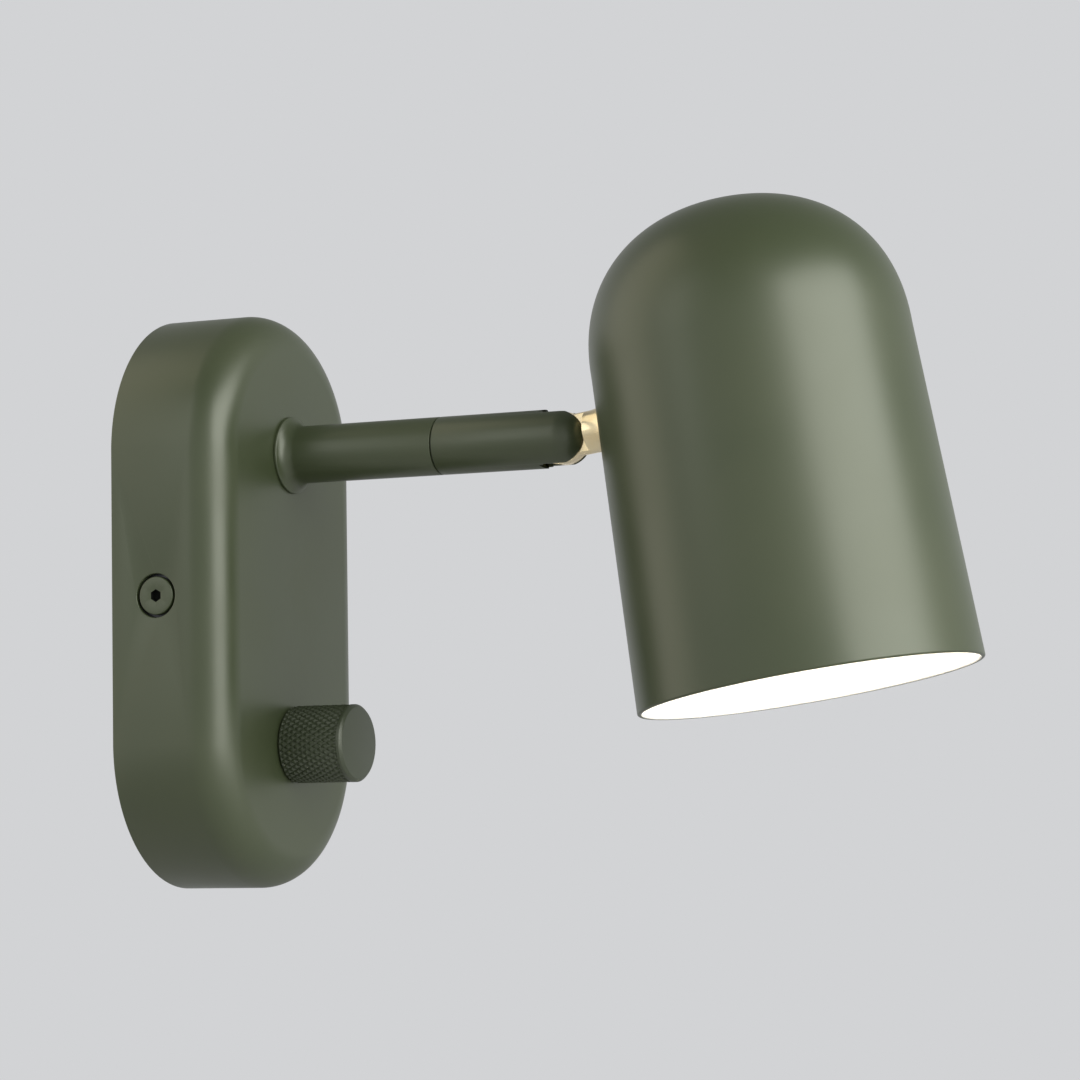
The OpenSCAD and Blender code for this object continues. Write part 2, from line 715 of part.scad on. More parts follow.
// Inner half of the arm, flared where it stands on the cover
module arm_foot() color(olive) at_arm() difference() {
    rotate_extrude() difference() {
        translate([0, cover_d]) square([foot_d / 2, foot_end - cover_d]);
        translate([arm_d / 2, cover_d + foot_rim + foot_run])
            square([foot_d, foot_end]);
        translate([arm_d / 2 + foot_curve_r, cover_d + foot_rim + foot_run]) circle(r = foot_curve_r);
    }
    translate([0, 0, cover_d - cut]) cylinder(d = nipple_d + 2 * thread_gap, h = nipple_seat + cut);
    cylinder(d = spindle_bore_d, h = swivel_out);
    translate([0, 0, foot_end - spindle_grip]) cylinder(d = spindle_d, h = spindle_grip + cut);
}

module arm_nipple() color(steel) at_arm(cover_in_front - nipple_in)
    tube(nipple_d, nipple_bore_d, nipple_in + cover_front + nipple_seat - pass_gap);

module arm_washer() color(steel) at_arm(cover_in_front - arm_washer_t)
    tube(arm_washer_d, nipple_d + 2 * pass_gap, arm_washer_t);

module arm_nut() color(steel) at_arm(cover_in_front - arm_washer_t - arm_nut_t)
    hex_nut(nut_af, nipple_d + 2 * thread_gap, arm_nut_t);

// Hollow spindle that carries the outer half of the arm; a stop breaks its groove
module swivel_spindle() color(brass) at_arm() difference() {
    translate([0, 0, foot_end - spindle_grip + pass_gap])
        tube(spindle_d - 2 * run_gap, spindle_bore_d,
            spindle_grip + swivel_line / 2 + spindle_journal - pass_gap);
    translate([0, 0, groove_at - groove_w / 2]) rotate([0, 0, 180 + stop_half_angle])
        rotate_extrude(angle = 360 - 2 * stop_half_angle)
            translate([spindle_d / 2 - groove_deep, 0]) square([2 * groove_deep, groove_w]);
}

module arm_cable() color(white) at_arm(cable_in) cylinder(d = arm_cable_d,
    h = pin_out - slot_r - arm_cable_stop - cable_in);

// Outer half of the arm: a tube with a ball end, slotted for the tongue and flat above and below
module arm_tip() color(olive) at_arm() difference() {
    rotate_extrude() {
        translate([0, tip_start]) square([arm_d / 2, pin_out - tip_start]);
        translate([0, pin_out]) intersection() {
            circle(d = arm_d);
            square(arm_d);
        }
    }
    translate([0, 0, swivel_out]) cylinder(d = spindle_d, h = spindle_journal + pass_gap);
    cylinder(d = spindle_bore_d, h = pin_out);
    translate([-slot_w / 2, -arm_d, pin_out]) cube([slot_w, 2 * arm_d, arm_d]);
    translate([-slot_w / 2, 0, pin_out]) rotate([0, 90, 0]) cylinder(r = slot_r, h = slot_w);
    for (side = [0, 1]) mirror([0, side, 0])
        translate([-arm_d, flat_half, pin_out - flat_back]) cube([2 * arm_d, arm_d, arm_d]);
    translate([0, 0, groove_at]) rotate([0, 90, 0])
        cylinder(d = grub_d + 2 * thread_gap, h = arm_d);
    translate([-screw_end - pass_gap, 0, pin_out]) rotate([0, 90, 0])
        cylinder(d = pin_d + 2 * thread_gap, h = arm_d);
    translate([screw_head_seat, 0, pin_out]) rotate([0, 90, 0])
        cylinder(d = screw_head_d + 2 * pass_gap, h = arm_d);
}

module swivel_washer() color(black) at_arm(foot_end + face_gap)
    tube(arm_d - 2 * swivel_washer_inset, spindle_d + 2 * pass_gap, swivel_line - 2 * face_gap);

// Grub screw whose dog rides in the spindle's groove
module swivel_grub_screw() color(steel) at_arm(groove_at) rotate([0, 90, 0]) difference() {
    union() {
        translate([0, 0, spindle_d / 2 - groove_deep + pass_gap])
            cylinder(d = dog_d, h = groove_deep);
        translate([0, 0, spindle_d / 2 + pass_gap])
            cylinder(d = grub_d, h = (arm_d - spindle_d) / 2 - 2 * pass_gap);
    }
    translate([0, 0, arm_d / 2 - pass_gap - grub_socket_deep]) hex_bar(grub_socket, grub_socket_deep + cut);
}

module tilt_screw() color(steel) at_arm(pin_out) rotate([0, 90, 0]) difference() {
    union() {
        translate([0, 0, -screw_end]) cylinder(d = pin_d, h = screw_end + screw_head_seat);
        translate([0, 0, screw_head_seat]) cylinder(d = screw_head_d, h = screw_head_t);
    }
    translate([0, 0, screw_head_seat + screw_head_t - screw_socket_deep])
        hex_bar(screw_socket, screw_socket_deep + cut);
}

module tilt_washers() color(black) at_arm(pin_out) for (side = [0, 180])
    rotate([0, 90 + side, 0]) translate([0, 0, tongue_t / 2 + face_gap])
        tube(side_washer_d, pin_d + 2 * pass_gap, side_washer_t);

// Brass tongue: a hollow eye in the arm's slot and a waisted neck fitted to the shade
module tongue() color(brass) difference() {
    union() {
        at_pin() rotate([0, 90, 0]) cylinder(r = eye_r, h = tongue_t, center = true);
        difference() {
            at_pin() difference() {
                rotate_extrude() neck_section();
                for (side = [0, 1]) mirror([side, 0, 0])
                    translate([tongue_t / 2, -arm_d, -cut]) cube([arm_d, 2 * arm_d, ball_clear + cut]);
            }
            in_shade() cylinder(r1 = shade_r + face_gap, r2 = dome_r + face_gap, h = cone_h);
        }
        at_pin() translate([0, 0, tongue_reach - 2 * cut])
            cylinder(d = tongue_thread_d, h = tongue_end - tongue_reach + 2 * cut);
    }
    at_pin() translate([0, 0, wire_way_r - cut]) cylinder(d = tongue_bore_d, h = tongue_end);
    at_pin() difference() {
        union() {
            rotate([0, 90, 0]) cylinder(r = wire_way_r, h = wire_way_w, center = true);
            translate([-wire_way_w / 2, -eye_r - cut, -eye_r - cut])
                cube([wire_way_w, 2 * eye_r + 2 * cut, eye_r]);
        }
        rotate([0, 90, 0]) cylinder(r = boss_r, h = 2 * wire_way_w, center = true);
    }
    at_pin() rotate([0, 90, 0]) cylinder(d = pin_d + 2 * run_gap, h = arm_d, center = true);
}

// Half section of the neck: waist and shallow hollow curve out to the shade
module neck_section() difference() {
    square([collar_r, tongue_reach + cut]);
    translate([waist_r + flare_r, waist_at]) circle(r = flare_r);
    translate([waist_r, 0]) square([collar_r, waist_at]);
}

module tongue_nut() color(brass) at_pin() translate([0, 0, leg_at + bracket_t])
    hex_nut(tongue_nut_af, tongue_thread_d + 2 * thread_gap, tongue_nut_t);

// Half outline of the bell at a given inset from its outside, from the opening to the top
function bell_side(inset) = concat(
    [[shade_r - inset, 0]],
    [for (i = [0 : dome_steps]) let (turn = 90 * i / dome_steps) [
        (dome_r - inset) * pow(max(cos(turn), 0), 2 / dome_power),
        cone_h + (dome_h - inset) * pow(sin(turn), 2 / dome_power)
    ]]
);

module shade() color(olive) difference() {
    in_shade() rotate_extrude() {
        outside = bell_side(0);
        inside = bell_side(shade_wall);
        polygon(concat(outside, [for (i = [len(inside) - 1 : -1 : 0]) inside[i]]));
    }
    at_pin() translate([0, 0, tongue_reach - 2 * cut])
        cylinder(d = tongue_thread_d + 2 * pass_gap, h = shade_wall + 4 * cut);
}

// The bracket's line in the shade, as distance from the axis and height
leg_start = [pin_r - leg_at * cos(shade_taper), pin_up - leg_at * sin(shade_taper)];
leg_dir = [-sin(shade_taper), cos(shade_taper)];
leg_bend = leg_start + leg_dir * (leg_bend_up - leg_start.y);
bracket_line = [leg_start - leg_dir * leg_foot, leg_bend, [leg_bend_in, bracket_up + bracket_t],
    [-leg_foot, bracket_up + bracket_t]];

// Bent steel strip from the tongue to the top of the lamp holder
module holder_bracket() color(steel) difference() {
    in_shade() rotate([90, 0, 90]) linear_extrude(bracket_w, center = true)
        bent_strip(bracket_line, bracket_t);
    at_pin() translate([0, 0, leg_at - cut])
        cylinder(d = tongue_thread_d + 2 * pass_gap, h = bracket_t + 2 * cut);
    in_shade() translate([0, 0, bracket_up - cut])
        cylinder(d = holder_thread_d + 2 * pass_gap, h = bracket_t + 2 * cut);
}

module holder_nipple() color(steel) in_shade() translate([0, 0, bracket_up - holder_grip])
    tube(holder_thread_d, holder_bore_d, holder_grip + bracket_t + holder_nut_t + holder_nipple_proud);

module holder_nut() color(steel) in_shade() translate([0, 0, bracket_up + bracket_t])
    hex_nut(tongue_nut_af, holder_thread_d + 2 * thread_gap, holder_nut_t);

module holder_cap() color(black) in_shade() translate([0, 0, cap_low]) difference() {
    rotate_extrude() {
        square([holder_d / 2 - cap_inset, holder_cap_h - holder_step]);
        square([holder_d / 2 - cap_inset - holder_step, holder_cap_h]);
    }
    translate([0, 0, holder_cap_h - holder_grip - pass_gap])
        cylinder(d = holder_thread_d + 2 * thread_gap, h = holder_grip + cut);
    translate([0, 0, -cut]) cylinder(d = holder_d - 2 * holder_room, h = cut + holder_room_deep);
    cylinder(d = holder_bore_d, h = holder_cap_h);
}

module holder_body() color(black) in_shade() translate([0, 0, body_low]) difference() {
    union() {
        cylinder(d = holder_d, h = holder_body_h);
        cylinder(d = holder_d + 2 * holder_lip, h = holder_lip_h);
    }
    translate([0, 0, -cut]) cylinder(r = base_r + shell_wall + pass_gap + thread_gap,
        h = holder_body_h - holder_roof + cut);
    cylinder(d = rivet_d + 2 * thread_gap, h = holder_body_h + cut);
}

// Brass liner that the lamp screws into
module holder_shell() color(brass) in_shade() translate([0, 0, body_low + shell_inset])
    tube(2 * (base_r + shell_wall + pass_gap), 2 * (base_r + pass_gap), base_len - shell_inset);

// Spring contact under the holder's roof, with its rivet
module holder_contact() color(copper) in_shade() translate([0, 0, cap_low - holder_roof]) {
    translate([-contact_w / 2, -contact_l / 2, -contact_t]) cube([contact_w, contact_l, contact_t]);
    cylinder(d = rivet_d, h = holder_roof + rivet_head_t);
}

// Lamp base: a rolled thread, an insulator and the tip contact
module lamp_base() color(steel) in_shade() rotate_extrude() {
    turns = floor(base_len / base_pitch);
    polygon(concat(
        [[0, base_low], [base_r - thread_deep, base_low]],
        [for (i = [0 : turns - 1]) each [
            [base_r, base_low + (i + 0.5) * base_pitch],
            [base_r - thread_deep, base_low + (i + 1) * base_pitch]
        ]],
        [[base_r - thread_deep, base_high], [insulator_r, lamp_top - lamp_tip_h],
            [lamp_tip_r, lamp_top - lamp_tip_h], [lamp_tip_r - lamp_tip_edge, lamp_top], [0, lamp_top]]
    ));
}

// Collar of the lamp between its base and the globe
module lamp_neck() color(white) in_shade() rotate_extrude() polygon([
    [0, globe_join_up], [globe_join_r, globe_join_up], [globe_join_r, globe_join_up + neck_rim / 2],
    [neck_r, base_low - neck_rim], [neck_r, base_low], [0, base_low]
]);

module lamp_globe() color(white) in_shade() rotate_extrude() difference() {
    translate([0, globe_up]) intersection() {
        circle(d = globe_d);
        translate([0, -globe_d / 2]) square([globe_d / 2, globe_d / 2 + globe_join_up - globe_up]);
    }
    translate([0, globe_up]) circle(d = globe_d - 2 * globe_wall);
}

// The head's cable: out of the tongue, up beside the bracket and down into the holder
function on_tongue(l) = [0, pin_r - l * cos(shade_taper), pin_up - l * sin(shade_taper)];
head_route = [on_tongue(9), on_tongue(16), on_tongue(tongue_end + 3), [4, 28, 80], [10, 25, 88],
    [11.5, 24, 99], [11, 19, 111], [6, 9, 118.5], [1, 1.5, 119.5], [0, 0, 114], [0, 0, cap_low + 6]];

module head_cable() color(white) in_shade() sweep(smooth_path(head_route, lead_steps), head_cable_d);

// Moulded case of the dimmer, open at the back
module dimmer_case() color(black) at_knob(case_back + lid_t) difference() {
    translate([-case_w / 2, -case_h / 2, 0]) cube([case_w, case_h, case_d - lid_t]);
    translate([-case_w / 2 + case_wall, -case_h / 2 + case_wall, -cut])
        cube([case_w - 2 * case_wall, case_h - 2 * case_wall, case_d - lid_t - case_wall + cut]);
    cylinder(d = bush_d + 2 * pass_gap, h = case_d);
    for (x = [live_hole_x, dimmed_hole_x]) translate([x, 0, lead_hole_out - case_back - lid_t])
        rotate([-90, 0, 0]) cylinder(d = lead_d + 2 * pass_gap, h = case_h);
}

module dimmer_lid() color(black) at_knob(case_back) {
    translate([-case_w / 2, -case_h / 2, 0]) cube([case_w, case_h, lid_t]);
    for (y = [-board_h / 2, board_h / 2 - lid_rib]) translate([-board_w / 2, y, lid_t])
        cube([board_w, lid_rib, board_front - board_t - case_back - lid_t]);
}

module dimmer_board() color([0.1, 0.4, 0.2]) at_knob(board_front - board_t)
    translate([-board_w / 2, -board_h / 2, 0]) cube([board_w, board_h, board_t]);

module dimmer_components() color(copper) at_knob(board_front) {
    translate(choke_at) tube(choke_d, choke_bore_d, choke_h);
    translate(film_cap_at) cube([film_cap_w, film_cap_l, film_cap_h]);
    translate(switch_at) cube([switch_w, switch_l, switch_h]);
    translate(round_cap_at) cylinder(d = round_cap_d, h = round_cap_h);
}

// The turning control behind the knob: body, threaded bush and the bore for the shaft
module dimmer_control() color(steel) at_knob() difference() {
    union() {
        translate([0, 0, control_front - control_t]) cylinder(d = control_d, h = control_t);
        cylinder_from_to(bush_d, control_front, bush_end);
    }
    translate([0, 0, shaft_start - pass_gap]) cylinder(d = shaft_d + 2 * run_gap, h = bush_end);
}

module cylinder_from_to(d, low, high) translate([0, 0, low]) cylinder(d = d, h = high - low);

module dimmer_washer() color(steel) at_knob(cover_d)
    tube(dimmer_washer_d, bush_d + 2 * pass_gap, dimmer_washer_t);

module dimmer_nut() color(steel) at_knob(cover_d + dimmer_washer_t)
    hex_nut(dimmer_nut_af, bush_d + 2 * thread_gap, dimmer_nut_t);

module dimmer_shaft() color(steel) at_knob() difference() {
    cylinder_from_to(shaft_d, shaft_start, shaft_end);
    translate([shaft_flat, -shaft_d, knob_back + knob_recess + shaft_round])
        cube([shaft_d, 2 * shaft_d, knob_len]);
}

module knob() color(olive) at_knob(knob_back) difference() {
    rotate_extrude() polygon([
        [0, 0], [knob_d / 2 - knob_back_edge, 0], [knob_d / 2, knob_back_edge],
        [knob_d / 2, knob_len - knob_chamfer],
        [knob_d / 2 - knob_chamfer, knob_len], [0, knob_len]
    ]);
    translate([0, 0, -cut]) cylinder(d = knob_recess_d, h = knob_recess + cut);
    cylinder(d = shaft_d + 2 * thread_gap, h = shaft_end - knob_back + pass_gap);
    translate([0, 0, knob_grub_out - knob_back]) rotate([0, 90, 0])
        cylinder(d = grub_d + 2 * thread_gap, h = knob_d);
}

module knob_grub_screw() color(steel) at_knob(knob_grub_out) rotate([0, 90, 0])
    translate([0, 0, shaft_flat + thread_gap]) difference() {
        cylinder(d = grub_d, h = knob_grub_len);
        translate([0, 0, knob_grub_len - knob_socket_deep]) hex_bar(grub_socket, knob_socket_deep + cut);
    }

mounting_plate();
entry_grommet();
cover();
cover_screws();
terminal_block();
terminal_sleeves();
terminal_screws();
block_screws();
earth_tag();
earth_screw();
earth_leads();
live_lead();
dimmed_lead();
neutral_lead();
arm_foot();
arm_nipple();
arm_washer();
arm_nut();
swivel_spindle();
arm_cable();
dimmer_case();
dimmer_lid();
dimmer_board();
dimmer_components();
dimmer_control();
dimmer_washer();
dimmer_nut();
dimmer_shaft();
knob();
knob_grub_screw();
arm_tip();
swivel_washer();
swivel_grub_screw();
tilt_screw();
tilt_washers();
tongue();
tongue_nut();
shade();
holder_bracket();
holder_nipple();
holder_nut();
holder_cap();
holder_body();
holder_shell();
holder_contact();
lamp_base();
lamp_neck();
lamp_globe();
head_cable();
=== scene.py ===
"""Dresses a bedside wall reading lamp: fine shells, a knurled knob, leads, finishes and light.

Sizes in the classes are millimetres, as in the solid model. Meshes are placed in metres in its
frame: +Z is up, the wall is at Y = 0 and the lamp stands out to -Y.
"""

import functools
import logging
import math
from dataclasses import dataclass, replace
from enum import Enum, IntEnum
from typing import Callable, ClassVar, Mapping, Sequence

import bmesh
import bpy
from mathutils import Matrix, Vector

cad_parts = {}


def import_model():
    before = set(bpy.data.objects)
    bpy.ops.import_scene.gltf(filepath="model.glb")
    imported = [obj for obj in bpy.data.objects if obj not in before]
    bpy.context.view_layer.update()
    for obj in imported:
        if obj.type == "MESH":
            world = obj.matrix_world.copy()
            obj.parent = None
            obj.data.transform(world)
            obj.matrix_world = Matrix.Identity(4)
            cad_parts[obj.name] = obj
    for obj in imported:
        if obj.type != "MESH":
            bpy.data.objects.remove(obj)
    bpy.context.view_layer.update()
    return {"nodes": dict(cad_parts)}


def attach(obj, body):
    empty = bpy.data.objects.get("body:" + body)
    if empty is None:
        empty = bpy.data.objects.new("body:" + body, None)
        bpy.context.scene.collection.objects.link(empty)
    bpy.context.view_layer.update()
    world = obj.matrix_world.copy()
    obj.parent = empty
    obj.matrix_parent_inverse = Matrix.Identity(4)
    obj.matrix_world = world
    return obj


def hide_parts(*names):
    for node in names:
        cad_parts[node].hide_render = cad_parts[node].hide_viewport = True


LOG = logging.getLogger("reading_lamp")
MM = 0.001  # a millimetre in metres
MERGE = 1e-4  # points this near are one, in millimetres
WELD = 1e-3  # the same after a cut
NEAR = 0.02  # points this near a face are on it
BEYOND = 1.0  # how far a cutter reaches beyond what it cuts
Colour = tuple[float, float, float, float]
Outline = Sequence[tuple[float, float]]
Point = tuple[float, float, float]
Socket = bpy.types.NodeSocket


def srgb(*levels: int) -> Colour:
    """Turns an eight-bit screen colour into the linear colour that shaders take.

    Args:
        levels: its red, green and blue, from 0 to 255.

    Returns:
        The colour with full alpha.
    """
    parts = [level / 255 for level in levels]
    linear = [p / 12.92 if p <= 0.04045 else ((p + 0.055) / 1.055) ** 2.4 for p in parts]
    return (*linear, 1.0)


def arc(centre: tuple[float, float], radius: float, start: float, end: float,
        steps: int) -> Outline:
    """Finds points along an arc in the plane of radius and height.

    Args:
        centre: the arc's centre.
        radius: its radius.
        start, end: its first and last angle, in radians, from outwards towards up.
        steps: number of steps between them.

    Returns:
        The points, with both ends.
    """
    turns = [start + (end - start) * k / steps for k in range(steps + 1)]
    return [(centre[0] + radius * math.cos(t), centre[1] + radius * math.sin(t)) for t in turns]


def across(up: float = 0.0) -> Matrix:
    """Frame at a height on the Z axis that lays a form's own z along X."""
    return Matrix.Translation((0, 0, up)) @ Matrix.Rotation(math.pi / 2, 4, "Y")


def put(name: str, data: bpy.types.ID) -> bpy.types.Object:
    """Puts a new object in the scene.

    Args:
        name: its name.
        data: its mesh, curve, light or camera.

    Returns:
        The object.
    """
    made = bpy.data.objects.new(name, data)
    bpy.context.scene.collection.objects.link(made)
    return made


class Body(Enum):
    """The rigid bodies that pieces ride on."""

    WALL = "wall_body"
    KNOB = "knob_body"
    TIP = "arm_tip_body"
    HEAD = "head"


class Effect(Enum):
    """The node groups that finishes share: each one's name, its number and its outputs."""

    SKIN = ("fine skin", "Cells", ("Height", "Tone"))
    TURNED = ("tool lines", "Lines", ("Height", "Tone"))
    SPANGLED = ("zinc spangle", "Cells", ("Height", "Tone"))
    STRIPED = ("sleeve stripes", "Cells", ("Height", "Tone"))
    BOARD = ("board tracks", "Cells", ("Height", "Tone"))
    WEAR = ("edge wear", "Amount", ("Mask",))
    DUST = ("settled dust", "Amount", ("Mask",))

    def __init__(self, title: str, number: str, outputs: tuple[str, ...]) -> None:
        """Gives the parts of its value their names.

        Args:
            title: the group's name.
            number: the name of its number input.
            outputs: the names of its outputs.
        """
        self.title, self.number, self.outputs = title, number, outputs


class Carve(Enum):
    """What one form does to another."""

    AWAY = "DIFFERENCE"
    TOGETHER = "UNION"


class Sides(IntEnum):
    """How many faces go round a round shape."""

    HOLE = 32
    PIN = 48
    ROD = 64
    RING = 96
    TURNED = 128
    COVER = 200
    SHELL = 256


@dataclass(frozen=True)
class Layout:
    """Sizes and frames that several sub-assemblies share, the same as in the solid model."""

    arm_up: float = 40.4
    arm_d: float = 16.0
    swivel_out: float = 81.5
    swivel_line: float = 0.4
    pin_out: float = 117.8
    knob_down: float = 40.4
    cover_d: float = 34.4
    spindle_d: float = 12.0
    spindle_bore_d: float = 6.4
    head_tilt: float = 9.4
    shade_taper: float = 1.92
    shade_r: float = 45.96
    shade_h: float = 131.2
    dome_h: float = 41.3
    dome_power: float = 2.24
    shade_wall: float = 1.4
    joint_up: float = 79.4
    tongue_reach: float = 14.55
    tongue_end: float = 22.16
    face_gap: float = 0.05

    @property
    def cone_h(self) -> float:
        """Height of the shade's straight side."""
        return self.shade_h - self.dome_h

    @property
    def taper(self) -> float:
        """Slope of the shade's straight side, in radians."""
        return math.radians(self.shade_taper)

    @property
    def dome_r(self) -> float:
        """Outer radius where the dome begins."""
        return self.shade_r - self.cone_h * math.tan(self.taper)

    @property
    def pin_r(self) -> float:
        """Distance of the tilt pin from the shade's axis."""
        side = self.shade_r - self.joint_up * math.tan(self.taper)
        return side + self.tongue_reach * math.cos(self.taper)

    @property
    def pin_up(self) -> float:
        """Height of the tilt pin above the shade's opening, along its axis."""
        return self.joint_up + self.tongue_reach * math.sin(self.taper)

    def wall(self, up: float = 0.0, out: float = 0.0) -> Matrix:
        """Finds a frame on the wall: x to the right, y up, z away from the wall.

        Args:
            up: height of its origin.
            out: distance of its origin from the wall.

        Returns:
            The frame in millimetres.
        """
        return Matrix.Rotation(math.radians(90), 4, "X") @ Matrix.Translation((0, up, out))

    def pin(self) -> Matrix:
        """Frame at the tilt pin: z along the tongue towards the shade."""
        turn = Matrix.Rotation(math.radians(self.shade_taper - self.head_tilt), 4, "X")
        return self.wall(self.arm_up, self.pin_out) @ turn

    def shade(self) -> Matrix:
        """Finds the frame of the shade: z up its axis from the opening, y towards the wall.

        Returns:
            The frame in millimetres.
        """
        tilted = Matrix.Rotation(math.radians(-self.head_tilt), 4, "X")
        at_pin = Matrix.Translation((0, -self.pin_out, self.arm_up)) @ tilted
        return at_pin @ Matrix.Translation((0, -self.pin_r, -self.pin_up))


LAYOUT = Layout()


class Graph:
    """Short calls that place nodes in a tree and join them."""

    def __init__(self, tree: bpy.types.NodeTree) -> None:
        """Works on a node tree.

        Args:
            tree: a material's, group's or world's tree.
        """
        self.tree = tree

    def add(
        self, kind: str, wires: Mapping[str | int, object] | None = None, **settings: object
    ) -> bpy.types.Node:
        """Places a node.

        Args:
            kind: the node's type name.
            wires: input name or number to a value, or to the output that feeds it.
            settings: the node's own properties.

        Returns:
            The new node.
        """
        node = self.tree.nodes.new(kind)
        for key, value in settings.items():
            setattr(node, key, value)
        for key, value in (wires or {}).items():
            if isinstance(value, bpy.types.NodeSocket):
                self.tree.links.new(value, node.inputs[key])
            else:
                node.inputs[key].default_value = value
        return node

    def calc(self, operation: str, *values: object) -> Socket:
        """Places a Math node.

        Args:
            operation: its operation.
            values: numbers or outputs, in order.

        Returns:
            The node's output.
        """
        node = self.add("ShaderNodeMath", dict(enumerate(values)), operation=operation)
        return node.outputs[0]

    def product(self, *values: object) -> Socket:
        """Multiplies numbers or outputs, one after the other."""
        return functools.reduce(functools.partial(self.calc, "MULTIPLY"), values)

    def part(self, vector: Socket, axis: str) -> Socket:
        """Takes the X, Y or Z out of a vector."""
        return self.add("ShaderNodeSeparateXYZ", {0: vector}).outputs[axis]

    def rise(
        self, value: object, low: float, high: float, bottom: float = 0.0, top: float = 1.0
    ) -> Socket:
        """Maps a value smoothly from one range to another and holds it there.

        Args:
            value: what is mapped.
            low, high: the range it comes from.
            bottom, top: the range it goes to.

        Returns:
            The mapped output.
        """
        wires = {0: value, 1: low, 2: high, 3: bottom, 4: top}
        node = self.add("ShaderNodeMapRange", wires, interpolation_type="SMOOTHSTEP")
        return node.outputs[0]

    def noise(self, vector: object, scale: object, detail: float = 2.0) -> Socket:
        """Places a noise texture.

        Args:
            vector: where it is read.
            scale: cells per metre.
            detail: number of finer layers.

        Returns:
            Its value.
        """
        wires = {"Vector": vector, "Scale": scale, "Detail": detail}
        return self.add("ShaderNodeTexNoise", wires).outputs[0]

    def blend(self, share: object, first: object, second: object) -> Socket:
        """Mixes two colours.

        Args:
            share: how much of the second.
            first, second: the colours.

        Returns:
            The mixed colour.
        """
        node = self.add("ShaderNodeMix", {0: share, 6: first, 7: second}, data_type="RGBA")
        return node.outputs[2]

    def mix(self, share: object, first: Socket, second: Socket) -> Socket:
        """Mixes two shaders."""
        return self.add("ShaderNodeMixShader", {0: share, 1: first, 2: second}).outputs[0]

    def effect(self, effect: Effect, place: Socket, number: float) -> Mapping[str, Socket]:
        """Places a shared node group, which is built the first time.

        Args:
            effect: which group.
            place: coordinates.
            number: what its number input gets.

        Returns:
            The group's outputs by name.
        """
        tree = bpy.data.node_groups.get(effect.title) or Shared(effect).tree
        wires = {"Vector": place, effect.number: number}
        return self.add("ShaderNodeGroup", wires, node_tree=tree).outputs


